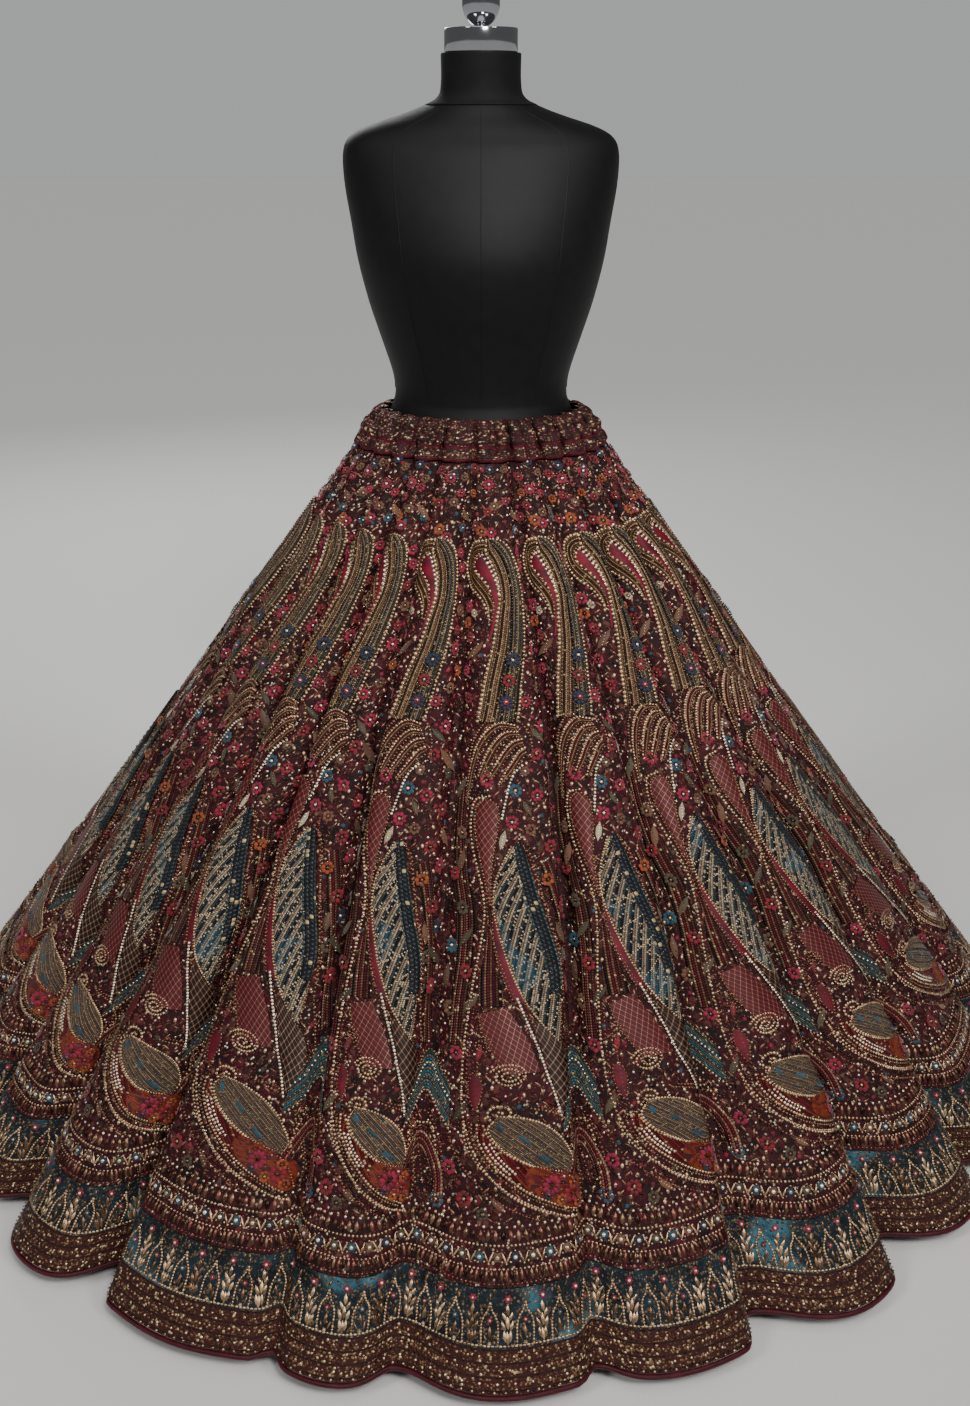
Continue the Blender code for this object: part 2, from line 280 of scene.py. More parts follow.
def weave_group():
    """Woven threads: two sets of small ridges that cross, as a height and a light mottling."""
    tree, finish, given, told = new_group(
        "woven cloth", [("Place", None), ("Thread", 0.0006)], ["Height", "Mottle"])
    parts = finish.parts(given["Place"])
    turns = finish.over(2.0 * math.pi, given["Thread"])
    warp = finish.math("SINE", finish.times(parts[0], turns))
    weft = finish.math("SINE", finish.times(parts[1], turns))
    finish.join(finish.times(warp, weft), told["Height"])
    mottle = finish.noise(given["Place"], 60.0, 4.0)
    finish.join(mottle, told["Mottle"])
    return tree


WOVEN = weave_group()


def form_surface(turn, height):
    """Point on the form at an angle from the right side, + towards the back, and a height."""
    rising = FORM_TABLE[::-1]
    half_width, half_depth, forward = (np.interp(height, rising[:, 0], rising[:, column])
                                       for column in (1, 2, 3))
    return np.stack([half_width * np.cos(turn), half_depth * np.sin(turn) - forward,
                     height * np.ones_like(turn)], -1)


FORM_TABLE = smooth_curve(FORM_SECTIONS, FORM_ROWS)
form_turns = np.linspace(0.0, 2.0 * math.pi, FORM_SIDES, endpoint=False)
form_points = form_surface(form_turns[None, :], FORM_TABLE[:, :1])
form_uv = paired(form_turns[None, :] * 0.14, FORM_TABLE[:, :1])
end_cap = np.arange(FORM_SIDES)[None, :]
form_faces = [grid_faces(FORM_ROWS, FORM_SIDES, closed=True), end_cap,
              (FORM_ROWS - 1) * FORM_SIDES + end_cap[:, ::-1]]


def form_cover_material():
    """Black cloth, very slightly mottled."""
    material, finish, place = new_material("black form cover", "cover")
    cloth = finish.group(WOVEN, Place=place, Thread=0.0011)
    tone = finish.ramp(cloth.outputs["Mottle"], (0.3, "#050506"), (0.7, "#0a0a0b"))
    finish.wear(Base_Color=tone, Roughness=0.55)
    finish.relief(cloth.outputs["Height"], 0.25, 0.0002)
    return material


BLACK_COVER = form_cover_material()
form_cover = make_piece("form_cover", form_points, form_faces, BLACK_COVER,
                        {"cover": form_uv})
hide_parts("dress_form")

# The cover's seams: thin raised lines of sewn cloth, where its panels join.
SEAM_TURNS = (0.0, 52.0, 90.0, 128.0, 180.0, 232.0, 270.0, 308.0)   # degrees round the form
SEAM_RADIUS = 0.0007
SEAM_TOP = 1.2600
SEAM_BOTTOM = 0.9200
SEAM_STEPS = 90
FORM_REACH = 0.12             # the form's usual radius
seam_heights = np.linspace(SEAM_TOP, SEAM_BOTTOM, SEAM_STEPS)
seam_points = []
for seam_turn in np.radians(SEAM_TURNS):
    for side in (-1.0, 0.0, 1.0):
        shift = side * SEAM_RADIUS / FORM_REACH
        line = form_surface(np.full(SEAM_STEPS, seam_turn + shift), seam_heights)
        outward = unit(line * (1.0, 1.0, 0.0))
        seam_points.append(line + outward * (SEAM_RADIUS if side == 0.0 else -0.0002))
seam_points = np.array(seam_points).reshape(len(SEAM_TURNS), 3, SEAM_STEPS, 3)
seam_faces = np.concatenate([grid_faces(3, SEAM_STEPS) + number * 3 * SEAM_STEPS
                             for number in range(len(SEAM_TURNS))])
make_piece("form_seams", seam_points, seam_faces, BLACK_COVER,
           {"cover": seam_points[..., [0, 2]]})

# The neck sleeve: a tube of black velvet pulled over the neck, with a rolled lower edge.
SLEEVE_THICKNESS = 0.0009
SLEEVE_LOW = 1.2600
sleeve_heights = np.concatenate([[1.3163, 1.3160], np.linspace(1.3150, SLEEVE_LOW, 36),
                                 [SLEEVE_LOW - 0.0008, SLEEVE_LOW - 0.0011]])
sleeve_out = np.concatenate([[0.0, 0.0007], np.full(34, SLEEVE_THICKNESS),
                             [0.0015, 0.0019, 0.0014, 0.0001]])
sleeve_points = form_surface(form_turns[None, :], sleeve_heights[:, None])
sleeve_points = sleeve_points + (unit(sleeve_points * (1.0, 1.0, 0.0))
                                 * sleeve_out[:, None, None])


def velvet_group():
    """Velvet pile: a fine nap that leans in patches, as a height and a tone from 0 to 1."""
    tree, finish, given, told = new_group("velvet pile", [("Place", None)], ["Height", "Tone"])
    pile = finish.noise(given["Place"], 1800.0, 2.0)
    patches = finish.noise(given["Place"], 35.0, 5.0, Roughness=0.6)
    finish.join(pile, told["Height"])
    finish.join(finish.between(patches, 0.32, 0.68), told["Tone"])
    return tree


VELVET_PILE = velvet_group()


def plain_velvet(name, dark, light, nap_light, sheen, uv_map="work", rough=0.6, rise=0.0005):
    """Plain pile or satin between two tones of its dye, with the light edge that its nap gives."""
    material, finish, place = new_material(name, uv_map)
    pile = finish.group(VELVET_PILE, Place=place)
    finish.wear(Base_Color=finish.blend(pile.outputs["Tone"], dark, light), Roughness=rough,
                Sheen_Weight=sheen, Sheen_Roughness=0.35, Sheen_Tint=nap_light)
    finish.relief(pile.outputs["Height"], 0.3, rise)
    return material


neck_sleeve = make_piece("neck_sleeve", sleeve_points, grid_faces(40, FORM_SIDES, closed=True),
                         plain_velvet("black velvet", "#060607", "#0c0c0e", "#303036", 0.3,
                                      None, 0.75, 0.0004))

# The neck cap: a chromed steel cup pressed on the neck, with an egg-shaped chromed finial
# screwed into its middle.
CAP_PROFILE = (
    # radius, height above the cap's foot
    (0.0427, 0.0000), (0.0436, 0.0003), (0.0440, 0.0012), (0.0440, 0.0258), (0.0437, 0.0266),
    (0.0428, 0.0270), (0.0300, 0.0272), (0.0120, 0.0274), (0.0098, 0.0278), (0.0090, 0.0290),
    (0.0094, 0.0300),
)
FINIAL_RADIUS = 0.0225
FINIAL_HEIGHT = 0.0655
FINIAL_WIDEST = 0.42
CAP_SIDES = 72


def finial_profile(steps, foot):
    """Radius and height pairs of the egg, from its foot to its top."""
    pairs = []
    for step in range(1, steps + 1):
        share = 0.5 - 0.5 * math.cos(math.pi * (0.12 + 0.88 * step / steps))
        reach = (1.0 - share / FINIAL_WIDEST if share < FINIAL_WIDEST
                 else (share - FINIAL_WIDEST) / (1.0 - FINIAL_WIDEST))
        pairs.append((FINIAL_RADIUS * math.sqrt(max(0.0, 1.0 - reach * reach)),
                      foot + FINIAL_HEIGHT * share))
    return pairs


def turned_points(profile, sides):
    """A turned surface about the upright axis, as rows of points."""
    turns = np.linspace(0.0, 2.0 * math.pi, sides, endpoint=False)
    pairs = np.asarray(profile)
    return np.stack(np.broadcast_arrays(pairs[:, :1] * np.cos(turns), pairs[:, :1] * np.sin(turns),
                                        pairs[:, 1:]), -1)


def polished_metal(name, colour, roughness, scratch):
    """Bright metal with faint wiping marks in its roughness."""
    material, finish, place = new_material(name)
    smears = finish.noise(place, 45.0, 6.0, Roughness=0.65)
    rough = finish.add("MapRange", Value=smears, To_Min=roughness - scratch,
                       To_Max=roughness + scratch)
    finish.wear(Base_Color=colour, Metallic=1.0, Roughness=rough)
    return material


cap_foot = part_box("neck_cap")[0].z
cap_profile = [(radius, cap_foot + height) for radius, height in CAP_PROFILE]
cap_profile += finial_profile(32, cap_foot + 0.0270)
cap_points = turned_points(cap_profile, CAP_SIDES)
CHROME = polished_metal("chrome", "#b4b6ba", 0.10, 0.05)
chrome_cap = make_piece("chrome_cap", cap_points,
                        [grid_faces(len(cap_profile), CAP_SIDES, closed=True)[:, ::-1],
                         np.arange(CAP_SIDES)[None, :]], CHROME)
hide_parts("neck_cap")

# The stand: a steel flange under the form, a tube pole, a collar and a round plate base,
# all hidden by the skirt from where people stand.
stand_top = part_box("stand")[1].z
STAND_PROFILE = [
    # radius, height
    (0.0438, stand_top), (0.0450, stand_top - 0.0010), (0.0450, stand_top - 0.0052),
    (0.0440, stand_top - 0.0060), (0.0140, stand_top - 0.0062), (0.0125, stand_top - 0.0080),
    (0.0125, 0.0600), (0.0130, 0.0585), (0.0210, 0.0580), (0.0220, 0.0570), (0.0220, 0.0200),
    (0.0235, 0.0184), (0.0600, 0.0180), (0.1680, 0.0088), (0.1697, 0.0078), (0.1700, 0.0060),
    (0.1700, 0.0008), (0.1692, 0.0000),
]
STAND_SIDES = 96
stand_end = np.arange(STAND_SIDES)[None, :]
stand_faces = [grid_faces(len(STAND_PROFILE), STAND_SIDES, closed=True), stand_end,
               (len(STAND_PROFILE) - 1) * STAND_SIDES + stand_end[:, ::-1]]
steel_stand = make_piece("steel_stand", turned_points(STAND_PROFILE, STAND_SIDES), stand_faces,
                         polished_metal("satin steel", "#a9a9ad", 0.32, 0.08))
steel_stand.data.set_sharp_from_angle(angle=math.radians(35.0))
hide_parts("stand")

# The kalis: 24 tapering panels of wine velvet on a thin cotton lining, sewn side by side and
# gathered at the waist. Their sewn edges fall into the folds, and each panel swells between
# two folds. Fine gold thread work covers the velvet between the larger figures.

WAIST_HEIGHT = 0.897
WAIST_HALF_WIDTH = 0.132
CONE_GROWTH = 0.619
CONE_FLARE = 0.034
HEM_HEIGHT = 0.020
SLOPE_LENGTH = 1.094          # metres along the cloth from waist to hem
BAND_END = 0.055              # shares of that length
BORDER_START = 0.900
BORDER_END = 0.9915
SEAM_GAP = 0.0003
KALIS = 24
EVERY_KALI = np.arange(KALIS)[:, None, None]

FOLDS = np.array([
    # seam, hem: degrees; mid, deep: mm; left, right: degrees; reach: mm; pucker
    (-179.0, -178.0, 27.0, 56.0, 1.6, 4.0, 0.0, 0.3),
    (-163.5, -165.5, 20.0, 34.0, 3.0, 1.4, 4.0, 0.9),
    (-148.0, -146.5, 30.0, 60.0, 2.2, 2.4, -3.0, 0.2),
    (-134.0, -135.0, 18.0, 26.0, 1.4, 3.6, 5.0, 0.7),
    (-118.5, -116.0, 28.0, 54.0, 3.4, 1.5, 0.0, 0.4),
    (-104.0, -103.5, 22.0, 38.0, 1.8, 2.8, 2.0, 0.8),
    (-88.5, -90.5, 30.0, 58.0, 2.6, 1.6, -2.0, 0.2),
    (-73.5, -74.5, 21.0, 36.0, 2.0, 3.2, 0.0, 0.6),
    (-59.5, -60.0, 26.0, 50.0, 2.8, 1.6, -4.0, 0.3),
    (-46.0, -48.6, 26.0, 46.0, 2.2, 2.6, 11.0, 0.7),
    (-33.0, -34.2, 29.0, 60.0, 2.6, 1.0, 6.0, 0.2),
    (-20.0, -17.0, 24.0, 16.0, 1.1, 1.1, 6.0, 0.9),
    (-4.5, -6.9, 22.0, 22.0, 2.0, 4.2, 8.0, 1.0),
    (13.5, 9.2, 24.0, 20.0, 1.0, 2.4, 4.0, 0.5),
    (27.5, 23.6, 27.0, 42.0, 1.2, 5.6, 12.0, 0.8),
    (41.5, 39.6, 28.0, 56.0, 1.6, 4.4, 2.0, 0.3),
    (57.0, 54.5, 25.0, 44.0, 2.0, 2.6, 0.0, 0.6),
    (72.0, 72.5, 27.0, 52.0, 1.6, 3.0, 2.0, 0.9),
    (86.5, 88.0, 20.0, 30.0, 3.2, 1.8, -2.0, 0.2),
    (101.5, 100.0, 29.0, 58.0, 1.6, 2.4, 4.0, 0.5),
    (117.0, 118.5, 24.0, 44.0, 2.4, 3.4, 0.0, 0.9),
    (131.5, 130.5, 19.0, 28.0, 1.4, 2.0, 3.0, 0.3),
    (147.0, 149.0, 30.0, 60.0, 3.0, 1.6, -2.0, 0.7),
    (162.5, 161.5, 23.0, 40.0, 1.8, 3.0, 3.0, 0.5),
])

# Creases, placed one by one: soft troughs that start and end within a panel.
CREASES = np.array([
    # kali, percent across; start and end, thousandths of the drop; depth mm; half width
    (12, 30, 50, 170, 2.6, 60), (12, 74, 52, 230, 2.9, 50), (12, 62, 470, 640, 1.5, 40),
    (12, 24, 660, 800, 1.8, 45), (13, 26, 52, 140, 2.2, 55), (13, 70, 50, 210, 3.1, 60),
    (13, 45, 300, 420, 1.4, 50), (13, 75, 560, 760, 2.2, 40), (14, 32, 50, 190, 2.8, 50),
    (14, 68, 54, 130, 2.0, 60), (14, 20, 380, 520, 1.9, 40), (14, 58, 700, 860, 2.0, 50),
    (15, 24, 52, 160, 2.5, 60), (15, 77, 50, 250, 3.0, 45), (15, 40, 440, 600, 1.7, 50),
    (16, 33, 50, 150, 2.3, 55), (16, 66, 52, 200, 2.8, 50), (16, 25, 620, 840, 2.6, 45),
    (17, 28, 53, 220, 2.7, 50), (17, 72, 50, 140, 2.2, 60), (17, 60, 330, 480, 1.6, 45),
    (18, 30, 50, 180, 2.9, 55), (18, 76, 52, 150, 2.1, 50), (18, 42, 560, 700, 1.8, 50),
    (19, 25, 51, 130, 2.4, 60), (19, 69, 50, 240, 2.8, 45), (20, 34, 52, 200, 2.6, 50),
    (20, 73, 50, 160, 2.3, 55), (20, 22, 640, 830, 2.4, 45), (21, 27, 50, 170, 2.5, 55),
    (21, 67, 52, 140, 2.0, 60), (22, 31, 50, 230, 3.0, 50), (22, 75, 51, 170, 2.4, 50),
    (22, 55, 480, 620, 1.5, 50), (23, 26, 52, 150, 2.2, 55), (23, 71, 50, 210, 2.7, 50),
    (0, 29, 50, 190, 2.8, 50), (0, 74, 53, 140, 2.1, 55), (0, 40, 600, 780, 2.0, 50),
    (1, 33, 50, 150, 2.4, 60), (1, 68, 52, 230, 2.9, 45), (2, 25, 50, 210, 2.6, 50),
    (2, 76, 52, 160, 2.3, 55), (2, 50, 420, 560, 1.6, 50), (3, 30, 51, 140, 2.1, 55),
    (3, 70, 50, 190, 2.7, 50), (4, 27, 50, 240, 3.0, 50), (4, 73, 52, 150, 2.2, 55),
    (4, 24, 620, 800, 2.3, 45), (5, 32, 52, 170, 2.5, 55), (5, 69, 50, 210, 2.8, 50),
    (6, 28, 50, 150, 2.3, 60), (6, 75, 51, 200, 2.6, 45), (6, 47, 520, 660, 1.7, 50),
    (7, 31, 52, 220, 2.9, 50), (7, 67, 50, 140, 2.1, 60), (8, 26, 50, 170, 2.6, 55),
    (8, 72, 52, 190, 2.7, 50), (8, 60, 580, 800, 2.3, 45), (9, 34, 50, 140, 2.2, 55),
    (9, 70, 52, 240, 3.0, 50), (9, 30, 500, 680, 2.2, 45), (10, 25, 50, 200, 2.8, 50),
    (10, 66, 53, 160, 2.4, 55), (10, 72, 600, 820, 2.5, 45), (11, 36, 50, 180, 2.7, 60),
    (11, 72, 52, 130, 2.1, 50), (11, 55, 380, 520, 1.5, 50),
]) / (1.0, 100.0, 1000.0, 1000.0, 1.0, 1000.0)


def eased(value):
    """0 below 0, 1 above 1, eased in between."""
    value = np.clip(value, 0.0, 1.0)
    return value * value * (3.0 - 2.0 * value)


def mixed(first, second, share):
    """A value at a share of the way from the first to the second."""
    return first + (second - first) * share


def fold_angle(fold, drop):
    """Direction of a sewn seam at a drop, in degrees from the front."""
    turns, row = np.divmod(fold, KALIS)
    seam, hem = FOLDS[row, 0], FOLDS[row, 1]
    return mixed(seam, hem, eased((drop - 0.3) / 0.7)) + 360.0 * turns


def smooth_cloth(kali, across, drop):
    """The outside of the velvet without its creases, for arrays of places on it."""
    cone = WAIST_HALF_WIDTH + CONE_GROWTH * drop + CONE_FLARE * drop * drop
    angle = mixed(fold_angle(kali, drop), fold_angle(kali + 1, drop), across)
    upper, lower = eased(drop / 0.5), eased((drop - 0.5) / 0.5)
    radius = cone
    for step in (-1, 0, 1, 2):
        row = FOLDS[(kali + step) % KALIS]
        depth = mixed(mixed(0.011, 0.001 * row[..., 2], upper), 0.001 * row[..., 3], lower)
        away = angle - fold_angle(kali + step, drop)
        width = mixed(3.4, np.where(away < 0.0, row[..., 4], row[..., 5]), upper)
        radius = radius - depth * np.exp(-(away / width) ** 2)
    edge = np.cos(math.pi * across) ** 2
    own = FOLDS[kali % KALIS]
    radius = radius - 0.008 * cone * edge + 0.001 * own[..., 6] * drop * (1.0 - edge)
    dip = np.exp(-((across - 0.5) / 0.13) ** 2)
    radius = radius - 0.005 * own[..., 7] * dip * (1.0 - eased(drop / 0.20))
    turn = np.radians(angle) - 0.006 * np.sin(2.0 * math.pi * across)
    ratio = mixed(0.80, 1.0, eased(drop / 0.5))
    height = WAIST_HEIGHT + (HEM_HEIGHT - WAIST_HEIGHT) * drop
    return np.stack([radius * np.sin(turn), -radius * ratio * np.cos(turn), height], -1)


CREASE_LEAN = 0.05            # how far a crease leans across the panel over its length


def crease_depth(kali, across, drop):
    """How far the creases sink at places on the velvet, in metres."""
    total = np.zeros(np.broadcast(kali, across, drop).shape)
    for owner, place, start, end, depth, width in CREASES:
        middle = (drop - start) / (end - start)
        along = np.sin(math.pi * np.clip(middle, 0.0, 1.0))
        along = np.where((middle > 0.0) & (middle < 1.0), along, 0.0)
        away = across - (place + CREASE_LEAN * (middle - 0.5))
        total += (kali == owner) * 0.001 * depth * along * np.exp(-(away / width) ** 2)
    seam = np.where(across > 0.5, kali + 1, kali) % KALIS
    sunk = 0.0085 + 0.0035 * np.sin(2.1 * seam + 0.6 * np.sin(9.0 * drop))
    near_band = 1.0 - eased((drop - 0.10) / 0.20)
    sunk = sunk * (1.0 - 0.30 * near_band) * eased((drop - 0.070) / 0.055)
    sunk = sunk * (1.0 - eased((drop - 0.70) / 0.14))
    reach = 0.075 + 0.050 * near_band
    return total + sunk * np.exp(-(np.minimum(across, 1.0 - across) / reach) ** 2)


CLOTH_ROWS = 94
CLOTH_COLUMNS = 31
row_drops = np.linspace(0.0, 1.0, CLOTH_ROWS)
CLOSER_AT_SEAMS = 0.62         # how far the columns crowd to the panels' sides
even_shares = np.linspace(0.0, 1.0, CLOTH_COLUMNS)
row_shares = (0.5 - 0.5 * CLOSER_AT_SEAMS * np.cos(math.pi * even_shares)
              - 0.5 * (1.0 - CLOSER_AT_SEAMS) * (1.0 - 2.0 * even_shares))
grid_kali, grid_drop, grid_across = np.meshgrid(np.arange(KALIS), row_drops, row_shares,
                                                indexing="ij")
CLOTH_GRID = smooth_cloth(grid_kali, grid_across, grid_drop)
CLOTH_NORMAL = np.cross(np.gradient(CLOTH_GRID, axis=1), np.gradient(CLOTH_GRID, axis=2))
seam_normal = CLOTH_NORMAL[:, :, -1] + np.roll(CLOTH_NORMAL[:, :, 0], -1, axis=0)
CLOTH_NORMAL[:, :, -1] = seam_normal
CLOTH_NORMAL[:, :, 0] = np.roll(seam_normal, 1, axis=0)
CLOTH_NORMAL = unit(CLOTH_NORMAL)
CLOTH_GRID = CLOTH_GRID - CLOTH_NORMAL * crease_depth(grid_kali, grid_across, grid_drop)[..., None]
ARC = run_lengths(CLOTH_GRID)
KALI_WIDTH = ARC[..., -1]
ARC = ARC / KALI_WIDTH[..., None]
FINE = 257
share_steps = np.linspace(0.0, 1.0, FINE)
COLUMN_OF_SHARE = np.array([[np.interp(share_steps, ARC[kali, row], np.arange(CLOTH_COLUMNS))
                             for row in range(CLOTH_ROWS)] for kali in range(KALIS)])


def cloth_width(kali, drop):
    """Width of a panel along its cloth at a drop, in metres."""
    kali = np.asarray(kali) % KALIS
    row = np.clip(np.asarray(drop) * (CLOTH_ROWS - 1), 0.0, CLOTH_ROWS - 1.001)
    first = row.astype(int)
    return mixed(KALI_WIDTH[kali, first], KALI_WIDTH[kali, first + 1], row - first)


def on_cloth(kali, share, drop, lift=0.0):
    """Points raised from the velvet by lift, at shares of a panel's own width and drops.
    A share below 0 or above 1 lies on the next panel."""
    kali, share, drop, lift = np.broadcast_arrays(kali, share, drop, lift)
    step = np.floor(share).astype(int)
    kali, share = (kali + step) % KALIS, share - step
    row = np.clip(drop * (CLOTH_ROWS - 1), 0.0, CLOTH_ROWS - 1.001)
    first = row.astype(int)
    down = (row - first)[..., None]
    fine = np.clip(share * (FINE - 1), 0.0, FINE - 1.001)
    low = fine.astype(int)
    part = fine - low
    found = raised = 0.0
    for offset, weight in ((0, 1.0 - down), (1, down)):
        table = COLUMN_OF_SHARE[kali, first + offset]
        near = np.take_along_axis(table, low[..., None], -1)[..., 0]
        far = np.take_along_axis(table, low[..., None] + 1, -1)[..., 0]
        column = np.clip(mixed(near, far, part), 0.0, CLOTH_COLUMNS - 1.001)
        left = column.astype(int)
        side = (column - left)[..., None]
        found = found + weight * mixed(CLOTH_GRID[kali, first + offset, left],
                                       CLOTH_GRID[kali, first + offset, left + 1], side)
        raised = raised + weight * mixed(CLOTH_NORMAL[kali, first + offset, left],
                                         CLOTH_NORMAL[kali, first + offset, left + 1], side)
    return found + raised * lift[..., None]


def scatter_group():
    """Close small stitches in clumps: where they lie, their height, tone and rare glints."""
    tree, finish, given, told = new_group(
        "close stitches", [("Place", None), ("Pitch", 0.004), ("Cover", 0.5)],
        ["Mask", "Height", "Tone", "Glint"])
    scale = finish.over(1.0, given["Pitch"])
    cells = finish.add("TexVoronoi", Vector=given["Place"], Scale=scale, Randomness=0.9)
    split = finish.add("SeparateColor", Color=cells.outputs["Color"])
    clumps = finish.noise(given["Place"], 38.0, 3.0)
    limit = finish.plus(given["Cover"], finish.times(finish.minus(clumps, 0.5), 1.6))
    chosen = finish.math("LESS_THAN", split.outputs[0], limit)
    dome = finish.minus(1.0, finish.times(cells.outputs["Distance"], 1.7))
    dome = finish.math("MAXIMUM", dome, 0.0)
    finish.join(finish.times(chosen, finish.between(dome, 0.05, 0.35)), told["Mask"])
    finish.join(finish.times(chosen, dome), told["Height"])
    finish.join(split.outputs[1], told["Tone"])
    finish.join(finish.math("GREATER_THAN", split.outputs[2], 0.92), told["Glint"])
    return tree


CLOSE_STITCHES = scatter_group()


def kali_material():
    """Wine velvet under close thread stitches and soft leaves; its back is plain lining."""
    material, finish, place = new_material("worked wine velvet", "cloth")
    drop = finish.parts(place)[1]
    share = finish.over(drop, SLOPE_LENGTH)
    pile = finish.group(VELVET_PILE, Place=place)
    velvet = finish.blend(pile.outputs["Tone"], "#080103", "#36040f")
    upper_dark = finish.between(share, 0.05, 0.30)
    velvet = finish.blend(upper_dark, finish.blend(0.55, velvet, "#0b0404"), velvet)
    stitches = finish.group(CLOSE_STITCHES, Place=place, Pitch=0.0030, Cover=0.60)
    thread = finish.ramp(stitches.outputs["Tone"], (0.0, "#0e0807"), (0.16, "#3d261d"),
                         (0.34, "#5f3d32"), (0.50, "#520e1d"), (0.60, "#640f26"),
                         (0.70, "#2f2624"), (0.84, "#7e5c49"), (1.0, "#1c0508"))
    thread = finish.blend(stitches.outputs["Glint"], thread, "#e2cdb4")
    leaf = finish.group(CLOSE_STITCHES, Place=place, Pitch=0.0105, Cover=0.42)
    leaf_tone = finish.ramp(leaf.outputs["Tone"], (0.0, "#3c1c1a"), (0.35, "#4e2a26"),
                            (0.6, "#261f1c"), (0.8, "#5c0e22"), (1.0, "#583c30"))
    ground = finish.blend(finish.times(leaf.outputs["Mask"], 0.7), velvet, leaf_tone)
    cover = finish.times(stitches.outputs["Mask"], 0.95)
    colour = finish.blend(cover, ground, thread)
    lining = finish.add("NewGeometry").outputs["Backfacing"]
    metal = finish.times(cover, finish.plus(0.25, finish.times(stitches.outputs["Glint"], 0.55)))
    finish.wear(Base_Color=finish.blend(lining, colour, "#3c0d18"), Metallic=metal,
                Roughness=finish.minus(0.74, finish.times(cover, 0.32)), Sheen_Weight=0.22,
                Sheen_Roughness=0.35, Sheen_Tint="#b02448")
    height = finish.plus(stitches.outputs["Height"], finish.times(leaf.outputs["Height"], 1.2))
    finish.relief(height, 0.9, 0.0020)
    return material


def cloth_panel_mesh(first, last, side_gap):
    """Points, faces and UVs of all the panels' cloth between two drops."""
    inside = row_drops[(row_drops > first + 0.002) & (row_drops < last - 0.002)]
    rows = np.concatenate([[first], inside, [last]])[None, :, None]
    width = cloth_width(EVERY_KALI, rows)
    gaps = side_gap / width
    share = gaps + (1.0 - 2.0 * gaps) * COLUMN_SHARES[:, None, :]
    uv = paired(share * width + EVERY_KALI * PANEL_APART, rows * SLOPE_LENGTH)
    step = rows.size * CLOTH_COLUMNS
    faces = np.concatenate([grid_faces(rows.size, CLOTH_COLUMNS) + number * step
                            for number in range(KALIS)])
    return on_cloth(EVERY_KALI, share, rows), faces, uv


# Columns of the cloth at shares of the panel's own width, as the grid has them low down.
COLUMN_SHARES = ARC[:, CLOTH_ROWS * 6 // 10, :]
PANEL_APART = 0.37            # metres in the UV map, so that no two panels' stitches agree
cloth_points, cloth_faces, cloth_uv = cloth_panel_mesh(BAND_END + 0.0003, BORDER_START - 0.0003,
                                                       0.5 * SEAM_GAP)
skirt_cloth = make_piece("skirt_cloth", cloth_points, cloth_faces, kali_material(),
                         {"cloth": cloth_uv})
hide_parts(*[f"kali_{number:02d}" for number in range(1, KALIS + 1)])

# The waistband: a casing of the same cloth round a drawcord, drawn up into small uneven
# gathers. It is closely beaded, and its lower edge is turned under in a soft roll.
BAND_ROWS = 26
BAND_COLUMNS = 26
BAND_CLOTH = 0.043            # metres of gathered band to a panel
BAND_PROFILE = (
    # share of the band's own drop, how far it stands out in metres
    (0.000, -0.0022), (0.020, -0.0004), (0.070, 0.0018), (0.150, 0.0034), (0.260, 0.0030),
    (0.340, 0.0008), (0.400, 0.0016), (0.500, 0.0038), (0.590, 0.0036), (0.660, 0.0010),
    (0.720, 0.0004), (0.800, 0.0026), (0.890, 0.0036), (0.960, 0.0026), (0.990, 0.0008),
    (0.997, -0.0010),
)
BAND_GATHERS = (0.12, 0.64)
band_profile = smooth_curve(BAND_PROFILE, BAND_ROWS)
band_share = np.linspace(0.0, 1.0, BAND_COLUMNS + 1)[:-1]
band_drop = (band_profile[:, 0] * (BAND_END - 0.0006))[None, :, None]
gather = 0.0
for number, place in enumerate(BAND_GATHERS):
    shift = 0.03 * np.sin(2.3 * EVERY_KALI + 1.7 * number)
    size = 0.0084 + 0.0020 * np.sin(1.9 * EVERY_KALI + 2.9 * number)
    away = (band_share - place - shift + 0.5) % 1.0 - 0.5
    gather = gather - size * np.exp(-(away / 0.105) ** 2)
gather = gather + 0.0058
band_out = band_profile[:, 1][None, :, None] + gather * np.clip(
    np.sin(math.pi * np.clip(band_profile[:, 0], 0.02, 0.98)), 0.35, 1.0)[None, :, None]


def all_round(grid):
    """A grid of panel by row by column as rows that run right round the skirt."""
    return grid.transpose(1, 0, 2, 3).reshape(grid.shape[1], -1, grid.shape[3])


band_points = all_round(on_cloth(EVERY_KALI, band_share, band_drop, band_out))
band_uv = all_round(paired((EVERY_KALI + band_share) * BAND_CLOTH, band_drop * SLOPE_LENGTH))


